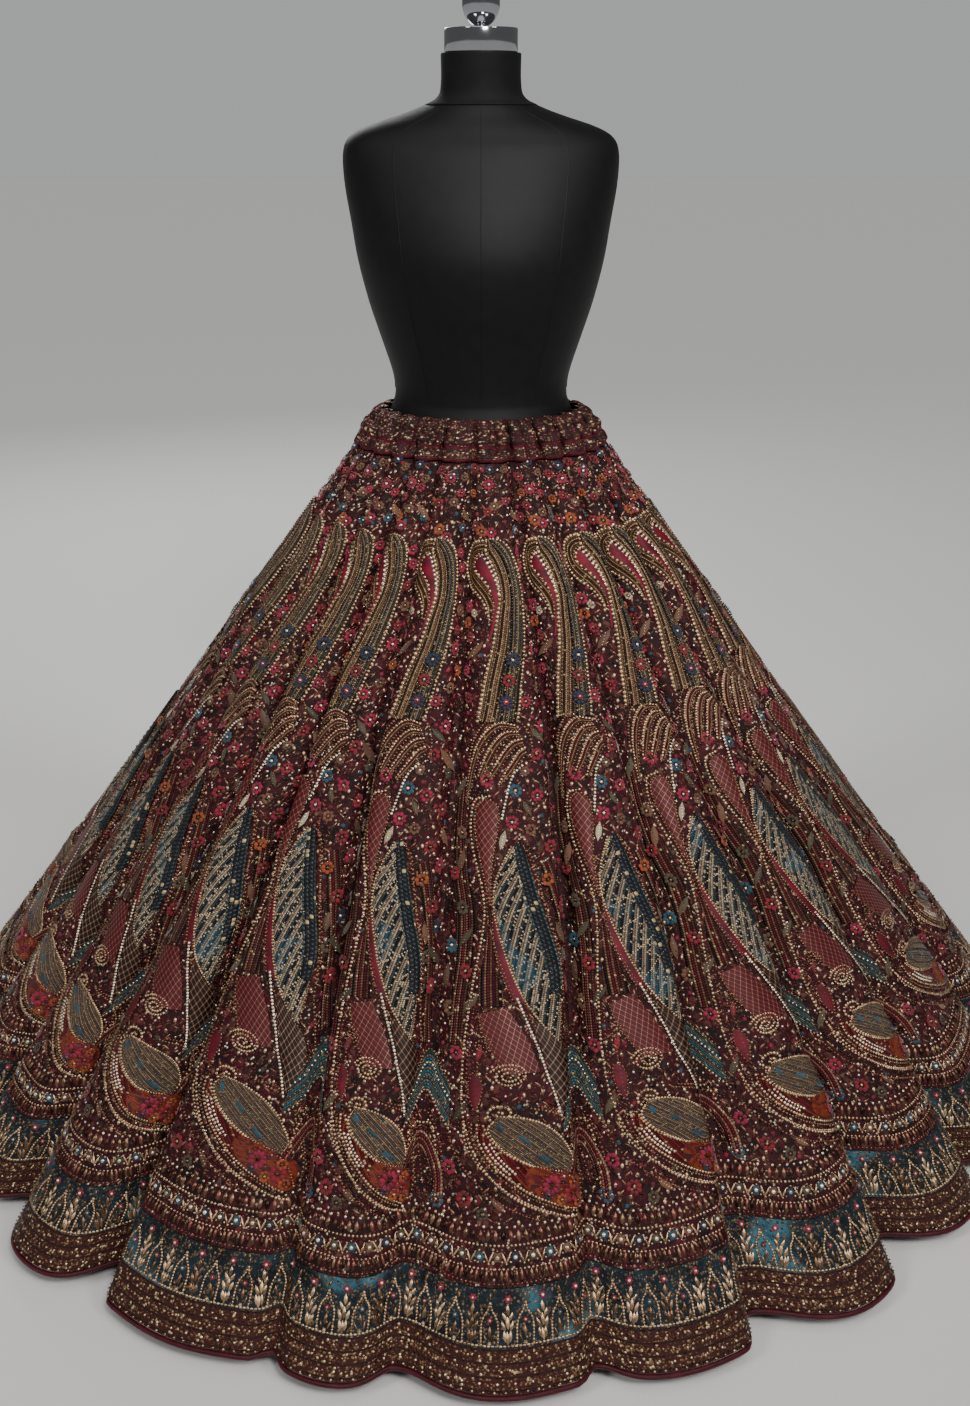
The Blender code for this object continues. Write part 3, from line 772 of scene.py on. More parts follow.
def worked_material(name, ground, threads, glint, pitch, cover, metal):
    """Cloth that close stitches and fine beads nearly cover."""
    material, finish, place = new_material(name, "cloth")
    pile = finish.group(VELVET_PILE, Place=place)
    velvet = finish.blend(pile.outputs["Tone"], ground[0], ground[1])
    stitches = finish.group(CLOSE_STITCHES, Place=place, Pitch=pitch, Cover=cover)
    thread = finish.ramp(stitches.outputs["Tone"], *[(number / (len(threads) - 1.0), tone)
                                                     for number, tone in enumerate(threads)])
    thread = finish.blend(stitches.outputs["Glint"], thread, glint)
    mask = stitches.outputs["Mask"]
    knots = finish.group(CLOSE_STITCHES, Place=place, Pitch=3.2 * pitch, Cover=0.62)
    gap = finish.times(finish.minus(1.0, knots.outputs["Mask"]), 0.42)
    level = finish.over(finish.parts(place)[1],
                        SLOPE_LENGTH * BAND_END)
    seams = [finish.math("LESS_THAN", finish.math("ABSOLUTE", finish.minus(level, line)), 0.028)
             for line in (0.66, 0.955)]
    seam = finish.math("MAXIMUM", seams[0], seams[1])
    worked = finish.blend(gap, finish.blend(mask, velvet, thread), "#1a0a0a")
    finish.wear(Base_Color=finish.blend(seam, worked, "#480d1a"))
    mask = finish.times(mask, finish.minus(1.0, seam))
    finish.wear(Metallic=finish.times(mask, metal),
                Roughness=finish.minus(0.72, finish.times(mask, 0.36)), Sheen_Weight=0.3,
                Sheen_Tint=ground[2])
    finish.relief(stitches.outputs["Height"], 0.8, 0.0014)
    return material


waist_casing = make_piece(
    "waist_casing", band_points, grid_faces(*band_points.shape[:2], closed=True),
    worked_material("beaded casing", ("#0d0506", "#38101a", "#6a2032"),
                    ("#241711", "#5c4430", "#8f7554", "#6a4a34", "#6a1a2a", "#a88d68"),
                    "#d8c09c", 0.0028, 0.90, 0.5),
    {"cloth": band_uv})
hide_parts("waistband")

# The hem border: a woven and worked band, with a strip of dark navy-teal velvet above rows of
# bronze sequins; the strip's brighter teal patches are painted sheen. It is sewn along the
# panels' lower edge, and follows all their folds.
TEAL_END = 0.9520
BRONZE_PITCH = 0.0117         # share of the drop from one bronze row to the next
border_rows = np.concatenate([
    np.linspace(BORDER_START + 0.0002, TEAL_END, 8),
    np.linspace(TEAL_END + 0.0048, BORDER_END - 0.0006, 7)])[None, :, None]
border_share = COLUMN_SHARES[:, None, :-1]
border_points = all_round(on_cloth(EVERY_KALI, border_share, border_rows))
hem_width = KALI_WIDTH[:, -8, None, None]
hem_start = np.cumsum(np.concatenate([[[[0.0]]], hem_width[:-1]]), axis=0)
border_uv = all_round(paired(hem_start + border_share * hem_width, border_rows * SLOPE_LENGTH))


def border_material():
    """Teal velvet with painted sheen patches above, rows of bronze sequins below, both closely
    stitched.
    """
    material, finish, place = new_material("worked hem border", "cloth")
    drop = finish.parts(place)[1]
    share = finish.over(drop, SLOPE_LENGTH)
    pile = finish.group(VELVET_PILE, Place=place)
    teal = finish.blend(pile.outputs["Tone"], "#05080b", "#12252e")
    # Painted sheen: patches of brighter teal, laid by a wide noise, stand in for light on the nap.
    wide = finish.noise(place, 9.0, 2.0)
    teal = finish.blend(finish.between(wide, 0.55, 0.64), teal,
                        finish.blend(pile.outputs["Tone"], "#1a3a45", "#3b7283"))
    stitches = finish.group(CLOSE_STITCHES, Place=place, Pitch=0.0032, Cover=0.70)
    thread = finish.ramp(stitches.outputs["Tone"], (0.0, "#2c241c"), (0.25, "#6a553d"),
                         (0.5, "#2c3436"), (0.7, "#7d6548"), (1.0, "#171a1c"))
    teal_worked = finish.blend(stitches.outputs["Mask"], teal, thread)
    bronze = finish.group(CLOSE_STITCHES, Place=place, Pitch=0.0030, Cover=0.93)
    bronze_thread = finish.ramp(bronze.outputs["Tone"], (0.0, "#22110d"), (0.2, "#452d1e"),
                                (0.45, "#6e543c"), (0.65, "#52301e"), (0.85, "#8a7052"),
                                (1.0, "#3a1614"))
    bronze_thread = finish.blend(bronze.outputs["Glint"], bronze_thread, "#bfaa80")
    rows = finish.times(finish.minus(share, 0.9535), math.pi / BRONZE_PITCH)
    rows = finish.math("ABSOLUTE", finish.math("SINE", rows))
    dark_rows = finish.between(rows, 0.16, 0.40)
    bronze_worked = finish.blend(bronze.outputs["Mask"], "#34130f", bronze_thread)
    bronze_worked = finish.blend(dark_rows, "#26100e", bronze_worked)
    lower = finish.math("GREATER_THAN", share, TEAL_END + 0.0005)
    finish.wear(Base_Color=finish.blend(lower, teal_worked, bronze_worked))
    worked = finish.plus(finish.times(stitches.outputs["Mask"], finish.minus(1.0, lower)),
                         finish.times(bronze.outputs["Mask"], lower))
    finish.wear(Metallic=finish.times(worked, 0.5),
                Roughness=finish.minus(0.7, finish.times(worked, 0.32)), Sheen_Weight=0.12,
                Sheen_Roughness=0.3, Sheen_Tint="#5f93a8")
    height = finish.plus(stitches.outputs["Height"], bronze.outputs["Height"])
    finish.relief(height, 0.8, 0.0012)
    return material


hem_band = make_piece("hem_band", border_points,
                      grid_faces(*border_points.shape[:2], closed=True),
                      border_material(), {"cloth": border_uv})
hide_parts("hem_border")

# The hem piping: a soft cord wrapped in wine satin cut on the bias, sewn under the border's
# edge. It is the lowest thing on the skirt.
PIPING_ROUND = 12
PIPING_DROP = 0.9945
PIPING_RADIUS = 0.0026
TWILL_PITCH = 0.0008
piping_kali, piping_share = EVERY_KALI[:, 0], border_share[:, 0]
piping_middle = on_cloth(piping_kali, piping_share, PIPING_DROP + 0.0002,
                         0.0004 - PIPING_RADIUS).reshape(-1, 3)
piping_out = unit((on_cloth(piping_kali, piping_share, PIPING_DROP, 1.0)
                   - on_cloth(piping_kali, piping_share, PIPING_DROP)).reshape(-1, 3))
piping_along = unit(np.roll(piping_middle, -1, 0) - np.roll(piping_middle, 1, 0))
piping_down = np.cross(piping_out, piping_along)
piping_turns = np.linspace(0.0, 2.0 * math.pi, PIPING_ROUND, endpoint=False)
piping_points = np.stack([piping_middle + PIPING_RADIUS * (math.cos(turn) * piping_out
                                                           + 1.15 * math.sin(turn) * piping_down)
                          for turn in piping_turns], 0)
piping_faces = grid_faces(PIPING_ROUND + 1, len(piping_middle), closed=True)
piping_faces = piping_faces % (PIPING_ROUND * len(piping_middle))
piping_uv = paired(run_lengths(piping_middle), (piping_turns * PIPING_RADIUS)[:, None])


def piping_material():
    """Satin cut on the bias, so that its twill slants."""
    material, finish, place = new_material("wine piping satin", "cloth")
    parts = finish.parts(place)
    slant = finish.plus(parts[0], parts[1])
    twill = finish.math("SINE", finish.times(slant, 2.0 * math.pi / TWILL_PITCH))
    tone = finish.noise(place, 70.0, 4.0)
    finish.wear(Base_Color=finish.ramp(tone, (0.3, "#26050b"), (0.7, "#450b17")),
                Roughness=0.42, Sheen_Weight=0.3, Sheen_Tint="#c0405a")
    finish.relief(twill, 0.3, 0.0002)
    return material


hem_cord = make_piece("hem_cord", piping_points, piping_faces, piping_material(),
                      {"cloth": piping_uv})
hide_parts("hem_piping")

# The large figures on each panel: hooked plumes, long leaves, nets and a paisley, each a
# padded shape filled with close thread and bead rows. All panels carry the same figures, and
# each figure is as wide as its panel lets it be.


FIGURE_APART = 0.153          # metres in the UV map between one panel's beads and the next


def strip_grid(left, right, steps, columns, lift, crown):
    """A padded shape between two edges, on every panel: points, metres across and along."""
    left_line, right_line = smooth_curve(left, steps), smooth_curve(right, steps)
    across = np.linspace(0.0, 1.0, columns)
    line = left_line[:, None] + (right_line - left_line)[:, None] * across[:, None]
    padding = lift + crown * np.sqrt(np.clip(1.0 - (2.0 * across - 1.0) ** 2, 0.0, 1.0))
    points = on_cloth(EVERY_KALI, line[..., 0], line[..., 1], padding)
    along = run_lengths(points[:, :, columns // 2])
    width = np.linalg.norm(points[:, :, -1] - points[:, :, 0], axis=-1)
    return points, paired((across - 0.5) * width[..., None],
                          along[..., None] + FIGURE_APART * EVERY_KALI)


def strip_piece(name, shapes, material):
    """One piece from several padded shapes, given as (left, right, steps, columns, lift, crown)."""
    points, uvs, faces, count = [], [], [], 0
    for shape in shapes:
        grid, uv = strip_grid(*shape)
        rows, columns = grid.shape[1:3]
        for kali in range(KALIS):
            faces.append(grid_faces(rows, columns) + count)
            count += rows * columns
        points.append(grid.reshape(-1, 3))
        uvs.append(uv.reshape(-1, 2))
    FIGURES.extend(shape[:2] for shape in shapes)
    make_piece(name, np.concatenate(points), np.concatenate(faces), material,
                                  {"work": np.concatenate(uvs)})


def between_lines(first, second, share):
    """A line at a share of the way from one edge to the other."""
    return tuple(map(tuple, np.asarray(first) * (1.0 - share) + np.asarray(second) * share))


def moved(line, across, down=0.0):
    """A line moved across its panel; down is the drop it gains for each share moved."""
    return tuple((share + across, drop + down * across) for share, drop in line)


def places(*pairs):
    """Places on a panel, from percents of its width and thousandths of the drop."""
    return tuple((across / 100.0, down / 1000.0) for across, down in pairs)


FIGURES = []


def row_group():
    """Bead rows side by side: which row, how far from its middle, and the beads along it."""
    tree, finish, given, told = new_group(
        "bead rows", [("Place", None), ("Pitch", 0.003), ("Bead", 0.0026), ("Slant", 0.0)],
        ["Row", "Height", "Gap", "Bead Tone"])
    parts = finish.parts(given["Place"])
    leaned = finish.plus(parts[0], finish.times(parts[1], given["Slant"]))
    along = finish.minus(parts[1], finish.times(parts[0], given["Slant"]))
    lines = finish.over(leaned, given["Pitch"])
    row = finish.math("FLOOR", lines)
    inside = finish.minus(finish.minus(lines, row), 0.5)
    shifted = finish.plus(finish.over(along, given["Bead"]), finish.times(row, 0.37))
    bead = finish.math("FLOOR", shifted)
    bead_inside = finish.minus(finish.minus(shifted, bead), 0.5)
    domes = [finish.minus(1.0, finish.times(finish.math(
        "POWER", finish.math("ABSOLUTE", away), 2.0), steepness))
             for away, steepness in ((inside, 4.0), (bead_inside, 3.2))]
    height = finish.times(*domes)
    seed = finish.add("CombineXYZ", X=row, Y=bead, Z=0.0)
    noise = finish.add("TexWhiteNoise", Vector=seed)
    finish.join(row, told["Row"])
    finish.join(height, told["Height"])
    finish.join(finish.between(height, 0.18, 0.45), told["Gap"])
    finish.join(noise.outputs[0], told["Bead Tone"])
    return tree


BEAD_ROWS = row_group()


def tones_in_turn(finish, rows, tones):
    """The colour of each bead row, the tones taken one after another."""
    count = float(len(tones))
    shifted = finish.plus(rows.outputs["Row"], 100.0 * count + 0.5)   # above 0 for every row
    return finish.steps(finish.math("FRACT", finish.over(shifted, count)), tones)


def rows_material(name, tones, ground, pitch, bead, slant, metal, sheen="#6a5040", glint=0.93):
    """Thread and bead rows; tones are taken in turn from row to row."""
    material, finish, place = new_material(name, "work")
    rows = finish.group(BEAD_ROWS, Place=place, Pitch=pitch, Bead=bead, Slant=slant)
    gap, bead_tone = rows.outputs["Gap"], rows.outputs["Bead Tone"]
    shade = finish.plus(0.62, finish.times(bead_tone, 0.6))
    shaded = finish.shaded(tones_in_turn(finish, rows, tones), shade)
    shaded = finish.blend(finish.math("GREATER_THAN", bead_tone, glint), shaded, "#a8946c")
    finish.wear(Base_Color=finish.blend(gap, ground, shaded), Metallic=finish.times(gap, metal),
                Roughness=finish.minus(0.66, finish.times(gap, 0.28)), Sheen_Weight=0.12,
                Sheen_Tint=sheen)
    finish.relief(rows.outputs["Height"], 1.0, 0.0012)
    return material


def net_material(name, satin, satin_light, thread, crossing, pitch, sheen):
    """A net of couched thread over satin, with a bead on each crossing."""
    material, finish, place = new_material(name, "work")
    parts = finish.parts(place)
    lines = []
    for lean in (1.0, -1.0):
        run = finish.plus(finish.times(parts[0], 0.80),
                          finish.times(parts[1], 0.60 * lean))
        wave = finish.math("FRACT", finish.plus(finish.over(run, pitch), 40.0))
        off = finish.math("ABSOLUTE", finish.minus(wave, 0.5))
        lines.append(finish.between(off, 0.35, 0.42))
    net = finish.math("MAXIMUM", lines[0], lines[1])
    knot = finish.times(lines[0], lines[1])
    tone = finish.noise(place, 90.0, 4.0)
    cloth = finish.blend(tone, satin, satin_light)
    cord = finish.blend(knot, thread, crossing)
    finish.wear(Base_Color=finish.blend(net, cloth, cord), Metallic=finish.times(net, 0.25),
                Roughness=finish.minus(0.55, finish.times(net, 0.15)), Sheen_Weight=0.04,
                Sheen_Tint=sheen)
    finish.relief(finish.plus(net, knot), 0.7, 0.0008)
    return material


PLUME_LEFT = places((37, 150), (36, 163), (42, 175), (47, 187), (50, 201), (50, 219), (46, 238),
                    (43, 255), (39, 274), (34, 294), (30, 312), (27, 330), (23, 352))
PLUME_RIGHT = places((46, 147), (58.5, 150), (69, 160), (75, 176), (77.5, 196), (77, 216),
                     (75, 236), (73, 255), (70, 275), (66.5, 294), (63, 312), (60.5, 330),
                     (57, 350))
HOOK_OUTER = places((42, 147), (19, 152), (5, 163), (1, 181), (5, 196), (14, 206), (26, 214),
                    (34, 226), (38, 240))
HOOK_INNER = places((40, 160), (29, 164), (19, 172), (17, 182), (24, 190), (33, 198), (40, 211),
                    (43, 224), (40, 241))
SLIT_LEFT = places((28, 168), (20, 175), (20, 184), (30, 193), (38, 203), (42, 217), (41, 233),
                   (39, 247), (35, 262))
SLIT_RIGHT = places((31, 166), (37, 174), (43, 186), (48, 199), (49.5, 211), (48.5, 223),
                    (45, 237), (42, 251), (37, 264))
barb_rows = rows_material("plume barbs", ("#ab8c6c", "#755a44", "#9c7c5e", "#35261f"), "#140807",
                          0.0025, 0.0026, 0.0, 0.45)
plume_rows = rows_material("plume rows", ("#8e755c", "#3a4340", "#5c4d3e", "#1a1e20", "#7c6550",
                                          "#32474a"), "#0a0707", 0.0027, 0.0026, 0.0, 0.45)
hook_rows = rows_material("hook rows", ("#9c7c5c", "#573d2b", "#82674a", "#42231a"), "#140708",
                          0.0026, 0.0028, 0.0, 0.5)
PLUME_PART = between_lines(PLUME_LEFT, PLUME_RIGHT, 0.46)
strip_piece("plume_barbs", [(PLUME_LEFT, PLUME_PART, 44, 6, 0.0013, 0.0020)], barb_rows)
strip_piece("plumes", [(PLUME_PART, PLUME_RIGHT, 44, 6, 0.0013, 0.0020)], plume_rows)
strip_piece("plume_hooks", [(HOOK_INNER, HOOK_OUTER, 26, 5, 0.0013, 0.0018)], hook_rows)
strip_piece("plume_slits", [(SLIT_LEFT, SLIT_RIGHT, 22, 4, 0.0010, 0.0010)],
            plain_velvet("crimson velvet", "#3c0514", "#6c0a20", "#b02848", 0.08))

# The second plume head below: strands fanning from a rounded top.
HEAD_STRANDS = (
    # each: outer edge, inner edge
    (places((54, 354), (41, 351), (30, 362), (22, 380), (17, 404), (14, 438)),
     places((55, 359), (43, 358), (34, 368), (27, 384), (21, 407), (15, 441))),
    (places((56, 361), (46, 361), (37, 371), (30, 387), (25, 408)),
     places((58, 366), (49, 367), (41, 377), (35, 392), (27, 411))),
    (places((59, 369), (51, 371), (44, 381), (38, 394), (33, 407)),
     places((60, 375), (54, 378), (47, 387), (42, 398), (35, 409))),
    (places((61, 378), (56, 381), (51, 390), (46, 400), (41, 412)),
     places((62, 386), (58, 390), (54, 397), (49, 405), (42, 414))),
)
strand_rows = rows_material("plume strands", ("#8f7458", "#4c2a22", "#a58a6a", "#5f1a24"),
                            "#26060d", 0.0024, 0.0024, 0.0, 0.45)
strip_piece("head_strands", [(left, right, 16, 5, 0.0013, 0.0022)
                             for left, right in HEAD_STRANDS], strand_rows)

# The long leaf: slanting bead stripes on teal velvet, with a stem of dark square beads.
LEAF_LEFT = places((48, 478), (42, 497), (37.5, 518), (37.5, 545), (42, 573), (49.5, 607),
                   (58, 636), (68, 660), (77, 678))
LEAF_RIGHT = places((52, 478), (57.5, 497), (62.5, 524), (68, 554), (73.5, 582), (77.2, 607),
                    (78.5, 632), (79, 657), (78, 680))
TIP_LEFT = places((60, 650), (64, 668), (68, 686), (72, 706), (76, 726), (80, 748))
TIP_RIGHT = places((76, 672), (82, 686), (86, 700), (87.5, 716), (86, 733), (81, 750))


def leaf_material():
    """Slanting bead rows over teal velvet, with patches of painted teal sheen."""
    material, finish, place = new_material("teal leaf stripes", "work")
    rows = finish.group(BEAD_ROWS, Place=place, Pitch=0.0030, Bead=0.0026, Slant=0.55)
    band = tones_in_turn(finish, rows, ("#a08c72", "#303a3e", "#14161a", "#776b5c"))
    beads = finish.blend(finish.math("GREATER_THAN", rows.outputs["Bead Tone"], 0.80), band,
                         "#b8a68a")
    pile = finish.group(VELVET_PILE, Place=place)
    velvet = finish.blend(pile.outputs["Tone"], "#090b0f", "#192227")
    # Painted sheen: the silk mask lays brighter teal patches on the velvet and beads, as light on
    # the nap.
    wide = finish.noise(place, 16.0, 1.0)
    silk = finish.between(wide, 0.56, 0.62)
    velvet = finish.blend(silk, velvet, "#204b5b")
    beads = finish.blend(finish.times(silk, 0.25), beads, "#2c5a69")
    finish.wear(Base_Color=finish.blend(rows.outputs["Gap"], velvet, beads),
                Metallic=finish.times(rows.outputs["Gap"], 0.35), Roughness=0.5, Sheen_Weight=0.12,
                Sheen_Roughness=0.3, Sheen_Tint="#7d97a2")
    finish.relief(rows.outputs["Height"], 0.9, 0.0012)
    return material


strip_piece("long_leaves", [(LEAF_LEFT, LEAF_RIGHT, 34, 8, 0.0012, 0.0022)], leaf_material())
STEM_LEFT = places((49.5, 478), (51.5, 500), (54.5, 524), (60, 552), (66, 582), (70, 607),
                   (72.5, 632))
STEM_RIGHT = places((54.5, 474), (59.5, 497), (64.5, 524), (70, 554), (75.5, 582), (79, 607),
                    (79, 634))
strip_piece("leaf_stems", [(STEM_LEFT, STEM_RIGHT, 14, 4, 0.0032, 0.0012)],
            rows_material("leaf stem beads", ("#20262b", "#34403f", "#24282e"), "#060708", 0.0058,
                          0.0052, 0.0, 0.3, "#454d52"))

# The nets: wine satin under couched tan thread, and a darker net at the long leaf's tip.
NET_LEAF_LEFT = places((30, 431), (23.5, 440), (22, 456), (24, 475), (28, 498), (32, 520),
                       (35, 538))
NET_LEAF_RIGHT = places((34, 431), (39.5, 438), (39.5, 456), (37.5, 475), (35.5, 498),
                        (35, 520), (36, 538))
NET_LEFT = places((31, 648), (33, 662), (37, 676), (42, 690), (47, 704))
NET_RIGHT = places((47, 640), (54, 657), (60, 674), (64, 690), (67, 705))
wine_net = net_material("wine net", "#2c040d", "#560a1d", "#64382e", "#8c6450", 0.0060, "#701830")
strip_piece("net_leaves", [(NET_LEAF_LEFT, NET_LEAF_RIGHT, 22, 6, 0.0012, 0.0016),
                           (NET_LEFT, NET_RIGHT, 14, 8, 0.0012, 0.0012)], wine_net)
strip_piece("leaf_tips", [(TIP_LEFT, TIP_RIGHT, 18, 6, 0.0011, 0.0018)],
            net_material("dark net", "#0c0405", "#1a080a", "#5c4334", "#96755a", 0.0062,
                         "#5a4a40"))
SATIN_LEFT = places((36.5, 545), (37, 562), (39, 585), (44, 610), (50, 632))
SATIN_RIGHT = places((38.5, 545), (42, 566), (46.5, 590), (52.5, 615), (57.5, 638))
PATCH_LEFT = places((29, 708), (28, 718), (29, 730), (32, 740))
PATCH_RIGHT = places((33, 706), (36, 716), (35.5, 729), (33.5, 741))
strip_piece("satin_bands", [(SATIN_LEFT, SATIN_RIGHT, 18, 4, 0.0011, 0.0010),
                            (PATCH_LEFT, PATCH_RIGHT, 9, 4, 0.0011, 0.0010)],
            plain_velvet("wine satin", "#3a0511", "#620a1f", "#902438", 0.04))

# The paisley at each panel's foot: an olive heart in a wine hollow, in a double gold edge.
HEART_LEFT = places((43.5, 749), (40.5, 757), (45, 769), (54, 781), (65, 792), (75, 799),
                    (84.5, 804))
HEART_RIGHT = places((45, 744), (57, 746), (69, 754), (79, 768), (85.5, 784), (88, 795),
                     (86, 805))
HOLLOW_LEFT = places((34.5, 754), (35.5, 768), (42, 785), (52, 801), (64, 817), (77, 830),
                     (90, 841))
HOLLOW_RIGHT = places((38, 754), (42, 766), (51, 779), (62, 790), (75, 801), (88, 812),
                      (95, 839))
FLAME_LEFT = places((64, 793), (61, 803), (66, 817), (76, 829), (90, 841))
FLAME_RIGHT = places((68, 794), (82, 802), (92.5, 812), (96, 826), (95, 841))
strip_piece("paisley_hollows", [(HOLLOW_LEFT, HOLLOW_RIGHT, 26, 7, 0.0010, 0.0012)],
            rows_material("paisley rows", ("#6a131c", "#45090f", "#7a2f1e", "#5c0f1a"), "#22060a",
                          0.0034, 0.0030, 0.35, 0.15, "#7c2430"))
strip_piece("paisley_hearts", [(HEART_LEFT, HEART_RIGHT, 24, 9, 0.0012, 0.0034)],
            rows_material("heart rows", ("#9e8068", "#735f4e", "#8a705b", "#555153"), "#15100d",
                          0.0022, 0.0020, 0.0, 0.35))


def flame_material():
    """Orange and wine silk thread in waves."""
    material, finish, place = new_material("flame thread", "work")
    rows = finish.group(BEAD_ROWS, Place=place, Pitch=0.0011, Bead=0.0030, Slant=0.35)
    wave = finish.noise(place, 70.0, 3.0, Distortion=1.2)
    tone = finish.ramp(wave, (0.30, "#3f0814"), (0.42, "#6a180f"), (0.50, "#84360f"),
                       (0.57, "#4c0e12"), (0.70, "#2e0719"))
    finish.wear(Base_Color=finish.blend(rows.outputs["Gap"], "#1f0508", tone), Roughness=0.45,
                Sheen_Weight=0.3, Sheen_Tint="#b06a40")
    finish.relief(rows.outputs["Height"], 0.6, 0.0006)
    return material


strip_piece("paisley_flames", [(FLAME_LEFT, FLAME_RIGHT, 16, 7, 0.0022, 0.0020)],
            flame_material())

# The flanks of each panel: close rows of bronze beads that follow the great curve of the
# figures, and a worked ground between that curve and the satin band.
FLANK_ROWS = rows_material("flank rows", ("#664a38", "#4a0e1a", "#4f3227", "#230b0e", "#775a43",
                                          "#5c1020"), "#0c0304", 0.0034, 0.0030, 0.0, 0.4)
GREAT_CURVE = places((33, 427), (22, 434), (18.5, 455), (20, 478), (25, 502), (29.5, 525),
                     (31.5, 548), (30, 578), (27, 612), (25, 645), (23.5, 680), (23.5, 708),
                     (24.5, 734), (27.5, 758), (33.5, 780), (43, 801), (56, 820), (72, 836),
                     (93, 850))
RIGHT_CURVE = places((53, 474), (62, 490), (67, 520), (72, 555), (78, 590), (81.5, 622),
                     (84, 655), (90, 690), (93, 716), (90, 742), (88, 765), (93, 790),
                     (98.5, 818), (98.5, 846))
FLANK_LEFT = places((5, 430), (3, 470), (5, 515), (10, 555), (13, 595), (12, 640), (13, 685))
FLANK_RIGHT = places((15, 425), (15, 465), (19, 510), (26.5, 550), (25.5, 597), (23, 640),
                     (21.5, 685))
WORKED_LEFT = places((23, 470), (28, 500), (33, 530), (34.5, 555), (33, 585), (30, 615),
                     (29, 640))
WORKED_RIGHT = places((25, 482), (31, 510), (35, 540), (36.5, 560), (39, 590), (43, 617),
                      (46, 638))
SCALLOP_LEFT = places((68, 500), (73, 530), (78, 560), (83, 590), (86, 620), (89, 655),
                      (94, 690))
SCALLOP_RIGHT = places((76, 494), (83, 525), (88, 556), (93, 588), (96, 620), (98, 655),
                       (101, 686))
strip_piece("flank_rows", [(FLANK_LEFT, FLANK_RIGHT, 34, 6, 0.0008, 0.0016),
                           (WORKED_LEFT, WORKED_RIGHT, 20, 5, 0.0008, 0.0014),
                           (SCALLOP_LEFT, SCALLOP_RIGHT, 24, 5, 0.0008, 0.0016)], FLANK_ROWS)

# The domes between the panels' feet: a teal velvet gable over each seam, with rows of wine
# beads below it.
GABLE_TOP = places((17, 724), (9, 711), (0, 697), (-9, 711), (-17, 724))
GABLE_FOOT = places((19, 768), (10, 753), (0, 737), (-10, 753), (-19, 768))
DOME_TOP = places((17.5, 838), (16.5, 808), (10, 785), (0, 771), (-10, 785), (-16.5, 808),
                  (-17.5, 838))
DOME_FOOT = places((10.5, 838), (10, 818), (6, 803), (0, 793), (-6, 803), (-10, 818),
                   (-10.5, 838))
strip_piece("seam_domes", [(DOME_TOP, DOME_FOOT, 25, 5, 0.0009, 0.0014)],
            rows_material("dome rows", ("#7a4a3a", "#4c0f1e", "#8a6650", "#5c1224"), "#180408",
                          0.0036, 0.0034, 0.0, 0.3))
strip_piece("seam_gables", [(GABLE_TOP, GABLE_FOOT, 21, 5, 0.0010, 0.0014)],
            rows_material("gable rows", ("#2c5f70", "#4f564e", "#23454f", "#6a5c46"), "#081218",
                          0.0034, 0.0034, 0.0, 0.25, "#5f93a8"))

# The beads, pearls, sequins and silk knots: each is sewn on by itself. Here each is a small
# faceted dome or leaf on the cloth, and those of one finish are joined into one piece.


def cloth_frame(kali, share, drop, lift):
    """Point, direction across, direction down and normal of the raised cloth at places."""
    point = on_cloth(kali, share, drop, lift)
    normal = unit(on_cloth(kali, share, drop, lift + 0.001) - point)
    side = on_cloth(kali, share + 0.004, drop, lift) - point
    side = unit(side - normal * np.sum(side * normal, axis=-1, keepdims=True))
    return point, side, np.cross(side, normal), normal


class Stitching:
    """Many small domes or leaves, gathered before they are joined into one piece."""

    def __init__(self):
        self.lots = []

    def add(self, kali, share, drop, angle, length, width, height, tone, lift=0.001, pointed=0.0):
        """Half length and half width in metres; angle in degrees from across to down."""
        rows = np.broadcast_arrays(kali, share, drop, angle, length, width, height, tone, lift,
                                   pointed)
        self.lots.append(np.stack([np.asarray(row, float).ravel() for row in rows], -1))

    def build(self, name, material):
        lots = np.concatenate(self.lots)
        kali, share, drop, angle, length, width, height, tone, lift, pointed = lots.T
        point, side, down, normal = cloth_frame(kali.astype(int), share, drop, lift)
        turn = np.radians(angle)[:, None]
        along = side * np.cos(turn) + down * np.sin(turn)
        across = -side * np.sin(turn) + down * np.cos(turn)
        top = point + normal * height[:, None]
        shade = np.random.default_rng(len(lots)).random(len(lots))
        points, faces, uvs, count = [], [], [], 0
        inner = 0.5 - 0.18 * pointed
        breadth = 0.866 - 0.08 * pointed
        one, none = np.ones_like(inner), np.zeros_like(inner)
        tiny = (length < 0.0016) & (pointed == 0.0)
        for chosen, rim_along, rim_across in (
                (~tiny, (one, inner, -inner, -one, -inner, inner),
                 (none, breadth, breadth, none, -breadth, -breadth)),
                (tiny, (one, none, -one, none), (none, one, none, -one))):
            corners = len(rim_along)
            reach = np.stack(rim_along, -1)[chosen] * length[chosen, None]
            spread = np.stack(rim_across, -1)[chosen] * width[chosen, None]
            rim = (point[chosen, None] + along[chosen, None] * reach[..., None]
                   + across[chosen, None] * spread[..., None] - normal[chosen, None] * 0.0006)
            points.append(np.concatenate([top[chosen, None], rim], 1).reshape(-1, 3))
            first = count + np.arange(int(chosen.sum())) * (corners + 1)
            faces += [np.stack([first, first + 1 + (number + 1) % corners, first + 1 + number], -1)
                      for number in range(corners)]
            uvs.append(np.repeat(np.stack([tone, shade], -1)[chosen], corners + 1, axis=0))
            count += int(chosen.sum()) * (corners + 1)
        make_piece(name, np.concatenate(points), np.concatenate(faces),
                                      material, {"tone": np.concatenate(uvs)})


